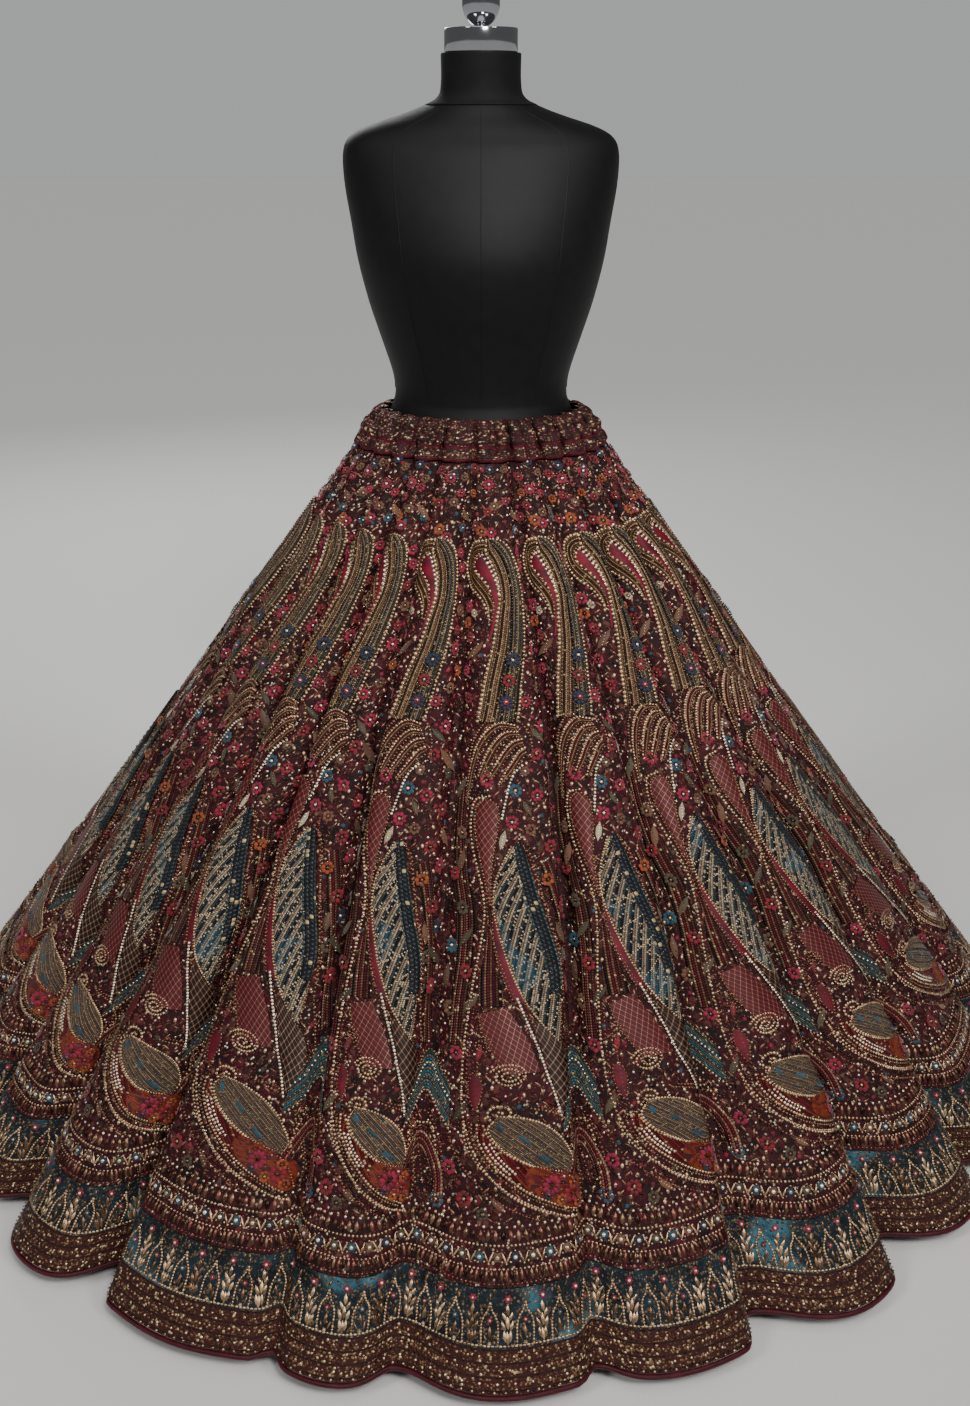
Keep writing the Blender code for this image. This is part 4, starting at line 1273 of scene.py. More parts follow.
def evenly(line, spacing, start=0.0, end=1.0):
    """Places evenly along a line on every panel: panel, share, drop and direction in degrees."""
    curve = smooth_curve(line, 12 * len(line))
    curve = curve[int(start * (len(curve) - 1)):int(end * (len(curve) - 1)) + 1]
    found = []
    for kali in range(KALIS):
        width = cloth_width(kali, curve[:, 1])
        steps = np.hypot(np.diff(curve[:, 0]) * 0.5 * (width[1:] + width[:-1]),
                         np.diff(curve[:, 1]) * SLOPE_LENGTH)
        length = np.concatenate([[0.0], np.cumsum(steps)])
        count = max(2, int(round(length[-1] / spacing)) + 1)
        spots = np.linspace(0.0, length[-1], count)
        share = np.interp(spots, length, curve[:, 0])
        drop = np.interp(spots, length, curve[:, 1])
        side = np.gradient(share) * cloth_width(kali, drop)
        angle = np.degrees(np.arctan2(np.gradient(drop) * SLOPE_LENGTH, side))
        found.append(np.stack([np.full(count, kali), share, drop, angle], -1))
    return np.concatenate(found).T


METAL_TONES = ("#6e5440", "#a98c6e", "#38241c", "#d6c7b0", "#6e463a", "#3c3431")
GOLD, BRIGHT, BRONZE, PEARL, COPPER, SMOKE = [(number + 0.5) / 6.0 for number in range(6)]
SILK_TONES = ("#740f2b", "#640c1a", "#7a3614", "#1b3d49", "#121a2e", "#94856c", "#3a3324",
              "#573a28")
MAGENTA, RED, ORANGE, TEAL, NAVY, CREAM, OLIVE, BROWN = [(number + 0.5) / 8.0
                                                         for number in range(8)]


def tone_material(name, tones, metal, rough, sheen):
    """One finish for many small stitches, whose own tone is kept in a UV map."""
    material, finish, place = new_material(name)
    kept = finish.add("UVMap", {"uv_map": "tone"})
    tone, own = finish.parts(kept)[:2]
    grain = finish.noise(place, 900.0, 2.0)
    shade = finish.times(finish.plus(0.55, finish.times(own, 0.85)),
                         finish.plus(0.7, finish.times(grain, 0.6)))
    spread = finish.add("MapRange", Value=own, To_Min=rough - 0.08, To_Max=rough + 0.10)
    finish.wear(Base_Color=finish.shaded(finish.steps(tone, tones), shade), Metallic=metal,
                Roughness=spread, Sheen_Weight=sheen)
    finish.relief(grain, 0.4, 0.0004)
    return material


METAL_BEADS = tone_material("metal beads", METAL_TONES, 0.75, 0.30, 0.0)
SILK_KNOTS = tone_material("silk knots", SILK_TONES, 0.0, 0.55, 0.3)


def bead_run(work, line, spacing, radius, tone, lift=0.0022, start=0.0, end=1.0):
    """Round beads along a line on every panel; spacing and radius in millimetres."""
    kali, share, drop, angle = evenly(line, 0.001 * spacing, start, end)
    work.add(kali, share, drop, angle, 0.001 * radius, 0.001 * radius, 0.0009 * radius, tone, lift)


upper_beads = Stitching()
# The plumes: a heavy bead row down the inner edge, finer rows beside it.
for share, spacing, radius, tone, lift in (
        (0.00, 5.4, 2.5, BRIGHT, 0.0022), (0.14, 4.4, 1.7, BRONZE, 0.0032),
        (0.30, 3.8, 1.3, GOLD, 0.0040), (0.52, 3.8, 1.3, SMOKE, 0.0042),
        (0.72, 3.8, 1.3, GOLD, 0.0038), (0.88, 4.2, 1.5, BRONZE, 0.0030),
        (1.00, 4.6, 2.0, BRIGHT, 0.0022)):
    line = between_lines(PLUME_LEFT, PLUME_RIGHT, share)
    bead_run(upper_beads, line, spacing, radius, tone, lift)
bead_run(upper_beads, HOOK_OUTER, 4.8, 2.1, BRIGHT)
bead_run(upper_beads, HOOK_INNER, 4.6, 1.8, GOLD)
bead_run(upper_beads, SLIT_LEFT, 6.0, 2.1, BRIGHT, 0.0022, 0.0, 0.55)
bead_run(upper_beads, SLIT_RIGHT, 6.0, 2.0, PEARL, 0.0022, 0.0, 0.5)
for left, right in HEAD_STRANDS:
    bead_run(upper_beads, left, 3.9, 1.8, BRIGHT)
    bead_run(upper_beads, right, 4.2, 1.5, GOLD)
HEAD_ARCH = places((15, 395), (20, 372), (29, 354), (41, 345), (54, 347), (63, 358), (67, 376),
                   (65, 392))
bead_run(upper_beads, HEAD_ARCH, 4.0, 1.7, GOLD)
WHITE_CORD = places((58, 396), (52, 403), (48, 414), (45, 430), (42, 449))
bead_run(upper_beads, WHITE_CORD, 4.0, 1.75, PEARL)
upper_beads.build("upper_beads", METAL_BEADS)

lower_beads = Stitching()
for line in (NET_LEAF_LEFT, NET_LEAF_RIGHT):
    bead_run(lower_beads, line, 3.8, 1.6, GOLD)
bead_run(lower_beads, LEAF_LEFT, 3.6, 1.6, BRIGHT)
bead_run(lower_beads, LEAF_RIGHT, 3.8, 1.5, GOLD)
for edge, shift, spacing, radius, tone in (
        (LEAF_RIGHT[:7], 0.045, 6.0, 2.1, COPPER), (LEAF_RIGHT[:7], 0.085, 6.0, 1.5, BRONZE),
        (LEAF_LEFT[1:8], -0.045, 5.0, 1.6, GOLD), (LEAF_LEFT[1:8], -0.085, 5.0, 1.4, BRONZE)):
    bead_run(lower_beads, moved(edge, shift), spacing, radius, tone, 0.0012)
leaf_left, leaf_right = smooth_curve(LEAF_LEFT, 60), smooth_curve(LEAF_RIGHT, 60)
for number in range(6, 58, 2):
    low, high = leaf_left[number], leaf_right[max(0, number - 6)]
    middle = 0.5 * (low + high)
    bead_run(lower_beads, (tuple(low), tuple(middle), tuple(high)), 3.3, 1.25,
             (BRIGHT, SMOKE, GOLD)[number % 3], 0.0036, 0.06, 0.94)
for line in (SATIN_LEFT, SATIN_RIGHT, PATCH_LEFT, PATCH_RIGHT, NET_LEFT):
    bead_run(lower_beads, line, 4.0, 1.5, GOLD)
NET_CORD = places((53, 632), (57.5, 650), (62, 668), (66, 684), (70.5, 706), (76, 730),
                  (80, 750))
bead_run(lower_beads, NET_CORD, 4.0, 1.75, PEARL, 0.0026)
bead_run(lower_beads, TIP_RIGHT, 4.0, 1.6, BRONZE)
bead_run(lower_beads, GREAT_CURVE, 4.4, 1.8, BRIGHT, 0.0014)
bead_run(lower_beads, RIGHT_CURVE, 4.8, 1.7, GOLD, 0.0014)
lower_beads.build("lower_beads", METAL_BEADS)


def spiral(share, drop, width, height, turns, start):
    """A flat spiral about a place, from its rim to its middle."""
    steps = np.linspace(0.0, 1.0, int(9 * turns) + 1)
    angle = np.radians(start) + 2.0 * math.pi * turns * steps
    size = 1.0 - 0.86 * steps
    return tuple((share + width * reach * math.cos(turn), drop + height * reach * math.sin(turn))
                 for reach, turn in zip(size, angle))


foot_beads = Stitching()
bead_run(foot_beads, spiral(0.50, 0.7060, 0.105, 0.0115, 2.6, 200.0), 3.6, 1.7, BRIGHT)
bead_run(foot_beads, spiral(0.345, 0.6780, 0.065, 0.0085, 1.7, 250.0), 3.6, 1.4, GOLD)
bead_run(foot_beads, spiral(0.47, 0.7420, 0.080, 0.0095, 1.5, 120.0), 4.2, 2.0, BRIGHT)
for share, tone in ((0.0, BRIGHT), (0.2, BRONZE), (0.4, GOLD), (0.6, SMOKE), (0.8, GOLD),
                    (1.0, BRIGHT)):
    bead_run(foot_beads, between_lines(HEART_LEFT, HEART_RIGHT, share), 3.6,
             1.7 if share in (0.0, 1.0) else 1.2, tone, 0.0024 + 0.0024 * math.sin(math.pi * share))
for shift, radius, tone in ((0.0, 1.8, BRIGHT), (-0.030, 1.6, GOLD), (-0.075, 1.6, BRIGHT),
                            (-0.125, 1.4, BRONZE), (-0.170, 1.6, COPPER)):
    bead_run(foot_beads, moved(HOLLOW_LEFT, shift, -0.03), 4.0, radius, tone, 0.0020)
bead_run(foot_beads, HOLLOW_RIGHT, 4.0, 1.7, BRIGHT, 0.0026)
for shift in (0.0, 0.030):
    line = moved(((0.390, 0.7705), (0.445, 0.7835), (0.530, 0.7975)), shift)
    bead_run(foot_beads, line, 4.2, 1.7, PEARL, 0.0026)
OUTER_EDGE = places((60, 739), (74, 748), (84, 763), (90.5, 781), (94, 802), (97.5, 826))
for shift, tone in ((0.03, GOLD), (0.07, COPPER), (0.12, BRONZE)):
    bead_run(foot_beads, moved(OUTER_EDGE, shift, -0.02), 4.4, 1.6, tone, 0.0014)
for reach, tone in ((0.155, COPPER), (0.115, BRIGHT), (0.075, BRONZE)):
    half = ((reach, 0.836), (reach * 1.02, 0.812), (reach * 0.90, 0.788),
            (reach * 0.55, 0.768 + 0.03 * (0.155 - reach)))
    top = ((0.0, 0.757 + 0.30 * (0.155 - reach)),)
    line = half + top + tuple((-share, drop) for share, drop in half[::-1])
    bead_run(foot_beads, line, 4.6, 1.7, tone, 0.0012)
for share, tone in ((0.33, PEARL), (0.66, GOLD)):
    bead_run(foot_beads, between_lines(GABLE_TOP, GABLE_FOOT, share), 4.6, 1.5, tone, 0.0026)
for shift, tone in ((0.030, COPPER), (0.060, BRONZE), (0.090, GOLD)):
    bead_run(foot_beads, moved(GREAT_CURVE[9:15], shift), 4.6, 1.5, tone, 0.0012)
bead_run(foot_beads, GABLE_TOP, 4.0, 1.7, GOLD, 0.0018)
bead_run(foot_beads, GABLE_FOOT, 4.2, 1.6, BRIGHT, 0.0018)
foot_beads.build("foot_beads", METAL_BEADS)

# The flowers and leaves between the figures: silk petals about a bead, and silk leaves, most
# with a beaded vein.


def covered(share, drop):
    """Whether a place lies under one of the large figures."""
    hidden = np.zeros(np.shape(share), bool)
    for left, right in FIGURES:
        left_line, right_line = smooth_curve(left, 40), smooth_curve(right, 40)
        inside = (drop > max(left_line[:, 1].min(), right_line[:, 1].min())) \
            & (drop < min(left_line[:, 1].max(), right_line[:, 1].max()))
        low = np.interp(drop, left_line[:, 1], left_line[:, 0])
        high = np.interp(drop, right_line[:, 1], right_line[:, 0])
        hidden |= inside & (share > low + 0.01) & (share < high - 0.01)
    return hidden


def flower(share, drop, size, petals, tone, heart, ring=None, lean=0.0):
    """One flower on every panel; size is its radius in millimetres."""
    kali = np.arange(KALIS)
    size = 1.15 * size
    petals = petals + 2
    strays = np.sin(2.4 * kali + 40.0 * share + 90.0 * drop)
    if drop < 0.15:
        share, drop = share + 0.06 * strays, drop + 0.0075 * np.cos(1.7 * kali + 50.0 * share)
    width = cloth_width(kali, drop)
    reach = 0.00070 * size
    rise = 0.0038 * covered(share, drop)
    for number in range(petals):
        turn = 2.0 * math.pi * number / petals + lean
        blossoms.add(kali, share + reach * math.cos(turn) / width,
                     drop + reach * math.sin(turn) / SLOPE_LENGTH, math.degrees(turn),
                     0.00036 * size, 0.0024 * size / petals + 0.0003, 0.0014, tone, 0.0016 + rise,
                     0.4)
    flower_beads.add(kali, share, drop, 0.0, 0.0019, 0.0019, 0.0020, heart, 0.0020 + rise)
    if ring is not None:
        for number in range(12):
            turn = 2.0 * math.pi * number / 12
            flower_beads.add(kali, share + 0.0012 * size * math.cos(turn) / width,
                             drop + 0.0012 * size * math.sin(turn) / SLOPE_LENGTH, 0.0,
                             0.0014, 0.0014, 0.0011, ring, 0.0014 + rise)


def leaf(share, drop, angle, length, width, tone, vein=None):
    """One leaf on every panel, with a beaded vein; sizes in millimetres."""
    kali = np.arange(KALIS)
    rise = 0.0040 if covered(share, drop) else 0.0
    blossoms.add(kali, share, drop, angle, 0.0005 * length, 0.0005 * width, 0.0016, tone,
                 0.0014 + rise, 1.0)
    if vein is not None:
        turn = math.radians(angle)
        for step in (-0.6, -0.3, 0.0, 0.3, 0.6):
            away = 0.0005 * length * step
            flower_beads.add(kali, share + away * math.cos(turn) / cloth_width(kali, drop),
                             drop + away * math.sin(turn) / SLOPE_LENGTH, angle, 0.0013, 0.0011,
                             0.0011, vein, 0.0026 + rise)


blossoms = Stitching()
flower_beads = Stitching()
FLOWERS = (
    # percent across, thousandths of the drop, radius mm, petals, tone, heart, on some a ring
    (50, 62, 5.5, 5, NAVY, PEARL), (44, 81, 6.5, 6, MAGENTA, PEARL, GOLD),
    (78, 70, 5.0, 5, BROWN, GOLD), (17, 68, 5.5, 5, RED, GOLD), (14, 98, 5.0, 5, ORANGE, COPPER),
    (56, 110, 5.5, 5, BROWN, BRIGHT), (34, 107, 5.0, 5, RED, GOLD),
    (72, 94, 5.0, 5, MAGENTA, GOLD), (36, 132, 6.5, 6, ORANGE, BRIGHT),
    (50, 138, 6.0, 6, MAGENTA, PEARL), (12, 130, 6.0, 5, RED, BRIGHT),
    (86, 132, 5.5, 5, TEAL, PEARL), (84, 165, 6.0, 5, MAGENTA, GOLD),
    (90, 182, 6.0, 5, MAGENTA, BRIGHT), (88, 208, 5.5, 5, RED, GOLD),
    (92, 232, 6.5, 5, BROWN, BRIGHT), (87, 255, 6.0, 5, RED, GOLD),
    (85, 276, 7.5, 6, MAGENTA, PEARL, GOLD), (93, 300, 6.0, 5, ORANGE, BRIGHT),
    (80, 318, 6.0, 5, BROWN, GOLD), (9, 228, 7.0, 6, MAGENTA, BRIGHT),
    (7, 246, 6.5, 5, ORANGE, GOLD), (20, 235, 4.5, 4, CREAM, BRIGHT), (14, 263, 6.0, 5, RED, GOLD),
    (8, 300, 6.0, 5, MAGENTA, GOLD), (13, 330, 6.0, 5, RED, GOLD),
    (57.4, 286, 7.6, 7, NAVY, PEARL, GOLD), (52, 308, 6.4, 6, RED, BRIGHT, GOLD),
    (48.5, 331, 7.6, 7, NAVY, COPPER, GOLD), (48.5, 330.5, 3.2, 4, MAGENTA, PEARL),
    (65.5, 330, 6.0, 6, MAGENTA, BRIGHT, GOLD), (31, 411, 7.5, 8, MAGENTA, GOLD),
    (60, 402, 5.0, 5, BROWN, PEARL), (70, 386, 6.5, 5, RED, GOLD),
    (78, 358, 7.0, 6, MAGENTA, PEARL), (52, 421, 7.0, 6, TEAL, PEARL),
    (68, 428, 6.5, 5, MAGENTA, BRIGHT), (49, 453, 7.0, 6, MAGENTA, PEARL),
    (84, 446, 7.0, 5, RED, BRIGHT), (62, 462, 6.0, 5, BROWN, GOLD), (90, 410, 7.0, 6, OLIVE, GOLD),
    (76, 482, 7.0, 5, RED, GOLD), (88, 506, 7.5, 6, MAGENTA, BRIGHT),
    (72, 516, 6.5, 5, ORANGE, GOLD), (82, 546, 7.0, 5, RED, GOLD), (92, 572, 7.5, 6, NAVY, PEARL),
    (84, 598, 7.0, 5, OLIVE, GOLD), (91, 632, 8.0, 6, RED, BRIGHT),
    (13, 472, 6.5, 5, BROWN, BRIGHT), (8, 516, 7.0, 5, RED, GOLD), (17, 548, 7.0, 6, OLIVE, GOLD),
    (9, 590, 7.5, 6, TEAL, PEARL), (22, 610, 7.0, 5, RED, BRIGHT),
    (12, 652, 8.0, 6, BROWN, BRIGHT), (19, 692, 7.0, 5, MAGENTA, GOLD),
    (75.5, 813, 9.0, 8, MAGENTA, BRONZE, COPPER), (86.5, 824, 8.0, 6, RED, COPPER),
    (81, 828, 5.5, 5, ORANGE, BRIGHT), (87.5, 815, 5.5, 5, ORANGE, COPPER),
    (74, 821, 4.5, 5, NAVY, COPPER), (82, 807, 4.5, 5, RED, BRIGHT),
    (90, 834, 5.5, 5, ORANGE, COPPER), (30, 824, 7.5, 6, RED, BRIGHT),
    (20, 800, 7.0, 5, MAGENTA, GOLD), (40, 835, 6.0, 5, OLIVE, GOLD),
    (14, 834, 7.5, 6, TEAL, PEARL),
)
for across, down, *made in FLOWERS:
    flower(across / 100.0, down / 1000.0, *made, lean=7.0 * (across / 100.0))
LEAVES = (
    # percent across, thousandths of the drop, angle, length mm, width mm, tone, vein
    (86, 118, 62, 26, 11, BROWN, BRIGHT), (22, 276, 118, 30, 11, BROWN, BRIGHT),
    (85, 395, 74, 34, 14, BROWN, GOLD), (72, 366, 58, 24, 9, OLIVE, GOLD),
    (42.5, 471, 104, 24, 9, CREAM, PEARL), (60, 440, 70, 22, 8, OLIVE, GOLD),
    (9, 424, 96, 30, 11, OLIVE, GOLD), (90, 475, 84, 30, 11, BROWN, GOLD),
    (80, 572, 100, 26, 10, BROWN, GOLD), (90, 600, 74, 28, 11, OLIVE, BRIGHT),
    (14, 500, 80, 28, 11, BROWN, GOLD), (21, 576, 110, 26, 10, OLIVE, GOLD),
    (7, 622, 78, 30, 11, BROWN, GOLD), (26, 640, 120, 26, 10, OLIVE, BRIGHT),
    (33, 686, 92, 20, 8, RED, COPPER), (60, 767, 38, 20, 6, TEAL), (47, 754, 60, 12, 7, TEAL),
    (72, 788, 38, 24, 6, TEAL, SMOKE), (48, 826, 40, 22, 9, BROWN, BRIGHT),
    (24, 746, 110, 26, 10, OLIVE, GOLD),
)
for across, down, *made in LEAVES:
    leaf(across / 100.0, down / 1000.0, *made)
blossoms.build("silk_flowers", SILK_KNOTS)
flower_beads.build("flower_beads", METAL_BEADS)

# The filling: small sprigs charted on a repeat of six rows, which cover the velvet wherever no
# larger figure lies.
SPRIG_PITCH = 0.0104
SPRIG_CHART = (
    # each row: how the sprigs turn, in degrees, and their kind: l leaf, b bud, d dot, f flower
    ((40, "l"), (90, "d"), (-40, "l"), (90, "b"), (35, "l"), (0, "f"), (-35, "l"), (90, "d")),
    ((120, "l"), (0, "f"), (60, "l"), (90, "d"), (140, "l"), (90, "b"), (40, "l"), (90, "l")),
    ((90, "d"), (130, "l"), (90, "b"), (50, "l"), (90, "d"), (125, "l"), (0, "f"), (55, "l")),
    ((90, "b"), (45, "l"), (90, "d"), (135, "l"), (90, "b"), (48, "l"), (90, "d"), (130, "l")),
    ((30, "l"), (90, "l"), (150, "l"), (0, "f"), (28, "l"), (90, "d"), (152, "l"), (90, "b")),
    ((135, "l"), (90, "d"), (45, "l"), (90, "l"), (135, "l"), (90, "b"), (48, "l"), (0, "f")),
)


sprig_drops = np.arange(BAND_END + 0.006, 0.843, SPRIG_PITCH / SLOPE_LENGTH)
filling = Stitching()
silk_filling = Stitching()
for number, drop in enumerate(sprig_drops):
    chart = SPRIG_CHART[number % 6]
    for kali in range(KALIS):
        count = max(3, int(round(float(cloth_width(kali, drop)) / SPRIG_PITCH)))
        spots = np.arange(count)
        share = (spots + 0.5 + 0.25 * (-1) ** number) / count
        drops = drop + 0.0016 * np.sin(3.1 * spots + 1.3 * number + 2.0 * kali)
        charted = [chart[(spot + 3 * kali) % 8] for spot in spots]
        kind = np.array([letter for turn, letter in charted])
        angle = np.array([turn for turn, letter in charted], float)
        keep = ~covered(share, drops) & (share > 0.015) & (share < 0.985)
        tone = np.array((BRONZE, GOLD, COPPER))[spots % 3]
        chosen = keep & (kind == "l")
        filling.add(kali, share[chosen], drops[chosen], angle[chosen], 0.0048, 0.0017, 0.0011,
                    tone[chosen], 0.0007, 1.0)
        chosen = keep & (kind == "b")
        filling.add(kali, share[chosen], drops[chosen], 90.0, 0.0028, 0.0020, 0.0013, BRIGHT,
                    0.0007)
        chosen = keep & (kind == "d")
        filling.add(kali, share[chosen], drops[chosen], 0.0, 0.0015, 0.0015, 0.0012, PEARL,
                    0.0007)
        chosen = keep & (kind == "f")
        colour = (MAGENTA, RED, OLIVE, RED, BROWN, TEAL)[(number + kali) % 6]
        for turn in (30.0, 90.0, 150.0):
            silk_filling.add(kali, share[chosen], drops[chosen], turn, 0.0032, 0.0011, 0.0012,
                             colour, 0.0008)
filling.build("metal_filling", METAL_BEADS)
silk_filling.build("silk_filling", SILK_KNOTS)

# The border's own work, from the panels' lower edge down: gold leaves, bead lines, medallions
# between sprigs, arches and vases on the teal strip, and lines of sequins at the hem.


def round_hem(spacing, drop, shift=0.0):
    """Evenly spaced places round the skirt at a drop: panels and shares of them."""
    widths = cloth_width(np.arange(KALIS), drop)
    ends = np.concatenate([[0.0], np.cumsum(widths)])
    count = int(round(ends[-1] / spacing))
    spots = (np.arange(count) + shift) % count * ends[-1] / count
    kali = np.clip(np.searchsorted(ends, spots, side="right") - 1, 0, KALIS - 1)
    return kali, (spots - ends[kali]) / widths[kali]


def hem_row(work, drop, spacing, length, width, tone, angle=90.0, pointed=0.0, lift=0.0012,
            shift=0.5, height=None):
    """One row of beads or stitches right round the border, the tones taken in turn."""
    kali, share = round_hem(spacing, drop, shift)
    tones = np.resize(np.atleast_1d(tone), len(kali))
    work.add(kali, share, drop, angle, length, width, height or 0.8 * width, tones, lift, pointed)


border_beads = Stitching()
border_silk = Stitching()
hem_row(border_beads, 0.8535, 0.0082, 0.0060, 0.0032, (GOLD, BRONZE, COPPER, GOLD), 90.0, 1.0)
hem_row(border_beads, 0.8455, 0.0082, 0.0017, 0.0017, (PEARL, BRIGHT), shift=0.5)
hem_row(border_beads, 0.8620, 0.0045, 0.0016, 0.0016, BRIGHT)
hem_row(border_beads, 0.8830, 0.0045, 0.0015, 0.0015, BRIGHT)
hem_row(border_beads, 0.8886, 0.0054, 0.0058, 0.0020, (GOLD, COPPER, BRONZE), 90.0, 0.6)
hem_row(border_beads, 0.8962, 0.0050, 0.0015, 0.0015, COPPER)
for turn in (0.0, 60.0, 120.0):
    hem_row(border_silk, 0.8725, 0.0190, 0.0062, 0.0030, (NAVY, OLIVE, TEAL, BROWN), turn,
            height=0.0018)
hem_row(border_beads, 0.8725, 0.0190, 0.0024, 0.0024, PEARL, lift=0.0030)
for turn in np.radians(np.arange(0.0, 360.0, 45.0)):
    hem_row(border_beads, 0.8725 + 0.0058 * math.sin(turn), 0.0190, 0.0014, 0.0014, BRIGHT,
            shift=0.5 + 0.34 * math.cos(turn))
for side, lean in ((-0.40, 66.0), (0.40, 114.0)):
    hem_row(border_beads, 0.8732, 0.0190, 0.0066, 0.0013, BRIGHT, lean, 1.0,
            shift=1.0 + 0.3 * side)

# The arches are drawn once, about their own middle: millimetres across and down from the
# strip's upper edge. Each arch's neighbour is a leafy vase under a wine flower.
ARCH_REPEAT = 0.0375
ARCH_LINE = ((-8.6, 55.0), (-8.8, 44.0), (-8.6, 34.0), (-6.4, 26.5), (-3.0, 21.5), (-1.2, 17.0),
             (0.0, 12.0))
VASE_LEAVES = (
    # across, down, angle, half length, half width
    (0.0, 20.0, 90, 5.6, 2.6), (-3.2, 26.5, 62, 5.2, 2.2), (3.2, 26.5, 118, 5.2, 2.2),
    (-4.2, 35.5, 70, 5.6, 2.4), (4.2, 35.5, 110, 5.6, 2.4), (0.0, 32.5, 90, 6.4, 2.6),
    (-3.0, 45.0, 84, 5.6, 2.3), (3.0, 45.0, 96, 5.6, 2.3), (0.0, 47.0, 90, 6.8, 2.4),
)
arch_kali, arch_share = round_hem(ARCH_REPEAT, 0.925)
vase_kali, vase_share = round_hem(ARCH_REPEAT, 0.925, 0.5)


def border_spot(kali, share, across, down):
    """Share and drop of a place given in millimetres from a repeat's middle."""
    return (share + 0.001 * across / cloth_width(kali, 0.925),
            BORDER_START + 0.0005 + 0.001 * down / SLOPE_LENGTH)


arch_curve = smooth_curve(ARCH_LINE, 90)
arch_steps = run_lengths(arch_curve)
for spot in np.arange(1.6, arch_steps[-1], 3.2):
    across, down = (np.interp(spot, arch_steps, arch_curve[:, axis]) for axis in (0, 1))
    ahead, below = (np.interp(spot + 0.8, arch_steps, arch_curve[:, axis]) for axis in (0, 1))
    lean = math.degrees(math.atan2(below - down, ahead - across))
    for side in (1.0, -1.0):
        share, drop = border_spot(arch_kali, arch_share, side * across, down)
        border_beads.add(arch_kali, share, drop, lean if side > 0.0 else 180.0 - lean, 0.0018,
                         0.0013, 0.0014, BRIGHT, 0.0012)
for across, down, lean, length, width in ((0.0, 7.0, 90, 3.6, 1.5), (0.0, 41.0, 90, 6.0, 2.2),
                                          (-4.4, 47.0, 70, 4.6, 1.4), (4.4, 47.0, 110, 4.6, 1.4)):
    share, drop = border_spot(arch_kali, arch_share, across, down)
    border_beads.add(arch_kali, share, drop, lean, 0.001 * length, 0.001 * width, 0.0014,
                     GOLD, 0.0010, 1.0)
for down, size, tone in ((30.0, 3.6, (RED, TEAL, MAGENTA)), (52.0, 2.6, (CREAM,))):
    share, drop = border_spot(arch_kali, arch_share, 0.0, down)
    tones = np.resize(tone, len(arch_kali))
    for turn in (0.0, 60.0, 120.0):
        border_silk.add(arch_kali, share, drop, turn, 0.001 * size, 0.00042 * size, 0.0015, tones)
    border_beads.add(arch_kali, share, drop, 0.0, 0.0017, 0.0017, 0.0018, BRIGHT, 0.0020)
for across, down, lean, length, width in VASE_LEAVES:
    share, drop = border_spot(vase_kali, vase_share, across, down)
    tones = np.resize((BRIGHT, GOLD, BRIGHT), len(vase_kali))
    border_beads.add(vase_kali, share, drop, lean, 0.001 * length, 0.001 * width, 0.0015,
                     tones, 0.0011, 1.0)
share, drop = border_spot(vase_kali, vase_share, 0.0, 9.5)
for turn in (0.0, 60.0, 120.0):
    border_silk.add(vase_kali, share, drop, turn, 0.0048, 0.0020, 0.0018, MAGENTA)
border_beads.add(vase_kali, share, drop, 0.0, 0.0018, 0.0018, 0.0022, PEARL, 0.0024)

hem_row(border_beads, 0.9500, 0.0042, 0.0020, 0.0013, BRIGHT, 0.0)
for drop, spacing, tones in ((0.9590, 0.0060, (BRIGHT, BRONZE)), (0.9705, 0.0056, (BRIGHT, GOLD)),
                             (0.9822, 0.0062, (PEARL, COPPER, GOLD)),
                             (0.9895, 0.0058, (BRIGHT, BRONZE))):
    hem_row(border_beads, drop, spacing, 0.00155, 0.00155, tones, 0.0)
border_beads.build("border_beads", METAL_BEADS)
border_silk.build("border_silk", SILK_KNOTS)

# The setting: a pale floor, soft studio lamps above and in front, and the camera.
FLOOR_REACH = 30.0
FLOOR_HEIGHT = -0.0005        # just under the stand, so that the two don't fight
floor_mesh = bpy.data.meshes.new("floor")
floor_mesh.from_pydata([(across, back, FLOOR_HEIGHT) for across, back in (
    (-FLOOR_REACH, -FLOOR_REACH), (FLOOR_REACH, -FLOOR_REACH), (FLOOR_REACH, FLOOR_REACH),
    (-FLOOR_REACH, FLOOR_REACH))], [], [(0, 1, 2, 3)])
floor = bpy.data.objects.new("floor", floor_mesh)
bpy.context.collection.objects.link(floor)
floor_paint, floor_look = new_material("pale floor")[:2]
floor_look.wear(Base_Color="#d9d8d6", Roughness=0.8)
floor_mesh.materials.append(floor_paint)


def lamp(name, place, aim, size, power, tint, spread=180.0):
    """A rectangular area lamp at a place, turned to its aim; its spread is in degrees."""
    light = bpy.data.lights.new(name, "AREA")
    light.shape = "RECTANGLE"
    light.size, light.size_y = size
    light.energy = power
    light.color = tint
    light.spread = math.radians(spread)
    holder = bpy.data.objects.new(name, light)
    holder.location = place
    towards = mathutils.Vector(aim) - mathutils.Vector(place)
    holder.rotation_euler = towards.to_track_quat("-Z", "Y").to_euler()
    bpy.context.collection.objects.link(holder)


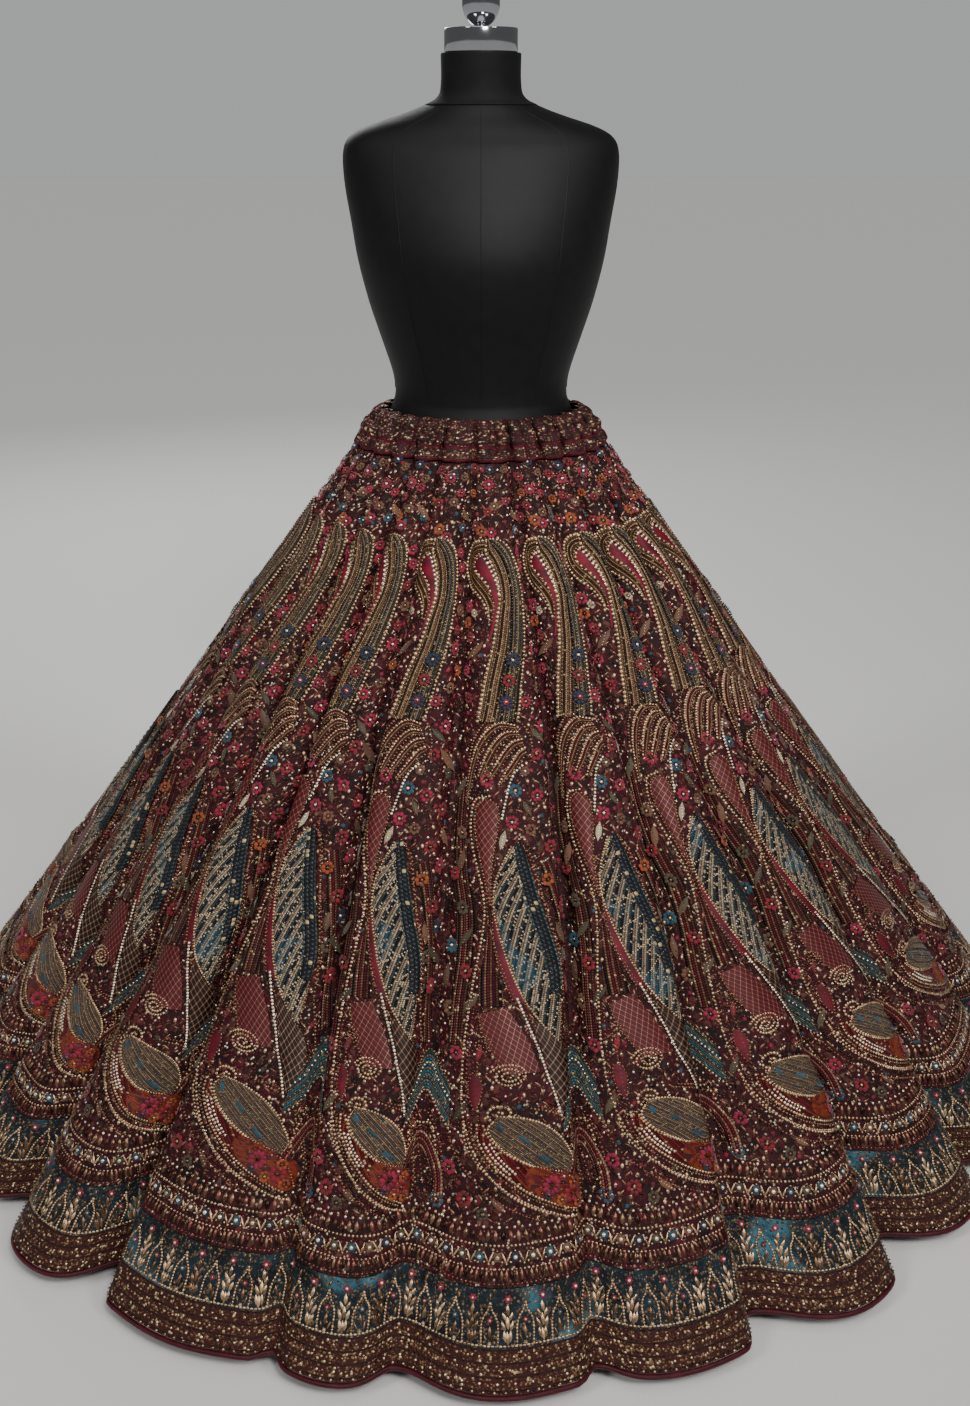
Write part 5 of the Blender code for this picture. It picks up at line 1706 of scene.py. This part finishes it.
lamp("front lamp", (0.6, -2.5, 2.6), (0.0, 0.0, 0.85), (0.6, 0.6), 15.0, (1.0, 0.98, 0.96), 76.0)
lamp("back lamp", (-1.2, 3.4, 2.4), (0.0, 0.0, 0.6), (1.6, 1.2), 40.0, (1.0, 1.0, 1.0))
for side, energy, angle, aim in (("left", 0.82, 14.0, (0.66, 0.58, -0.72)),
                                 ("right", 0.82, 14.0, (-0.66, 0.58, -0.72)),
                                 ("over", 0.55, 40.0, (0.0, 0.35, -1.0))):
    light = bpy.data.lights.new(side + " light", "SUN")
    light.energy = energy
    light.angle = math.radians(angle)
    holder = bpy.data.objects.new(side + " light", light)
    holder.rotation_euler = mathutils.Vector(aim).to_track_quat("-Z", "Y").to_euler()
    bpy.context.collection.objects.link(holder)

world = bpy.data.worlds.new("studio")
world.use_nodes = True
backdrop = world.node_tree.nodes["Background"]
backdrop.inputs[0].default_value = paint("#e4e5e6")
seen = world.node_tree.nodes.new("ShaderNodeLightPath")
strength = world.node_tree.nodes.new("ShaderNodeMapRange")
strength.inputs["To Min"].default_value = 0.17
strength.inputs["To Max"].default_value = 0.52
world.node_tree.links.new(seen.outputs["Is Camera Ray"], strength.inputs["Value"])
world.node_tree.links.new(strength.outputs["Result"], backdrop.inputs[1])
bpy.context.scene.world = world

PHOTO_WIDTH, PHOTO_HEIGHT = 970, 1406
FOCAL_PIXELS = 1474.3
MIDDLE_COLUMN = 481.0         # pixel column straight ahead of the camera
CAMERA_TILT = 0.3810          # radians below level
camera = bpy.data.cameras.new("camera")
camera.sensor_width = 36.0
camera.lens = FOCAL_PIXELS / PHOTO_HEIGHT * camera.sensor_width
camera.shift_x = (PHOTO_WIDTH / 2 - MIDDLE_COLUMN) / PHOTO_HEIGHT
camera_holder = bpy.data.objects.new("camera", camera)
camera_holder.location = (0.0, -1.927, 1.2504)
camera_holder.rotation_euler = (math.pi / 2.0 - CAMERA_TILT, 0.0, 0.0)
bpy.context.collection.objects.link(camera_holder)
bpy.context.scene.camera = camera_holder
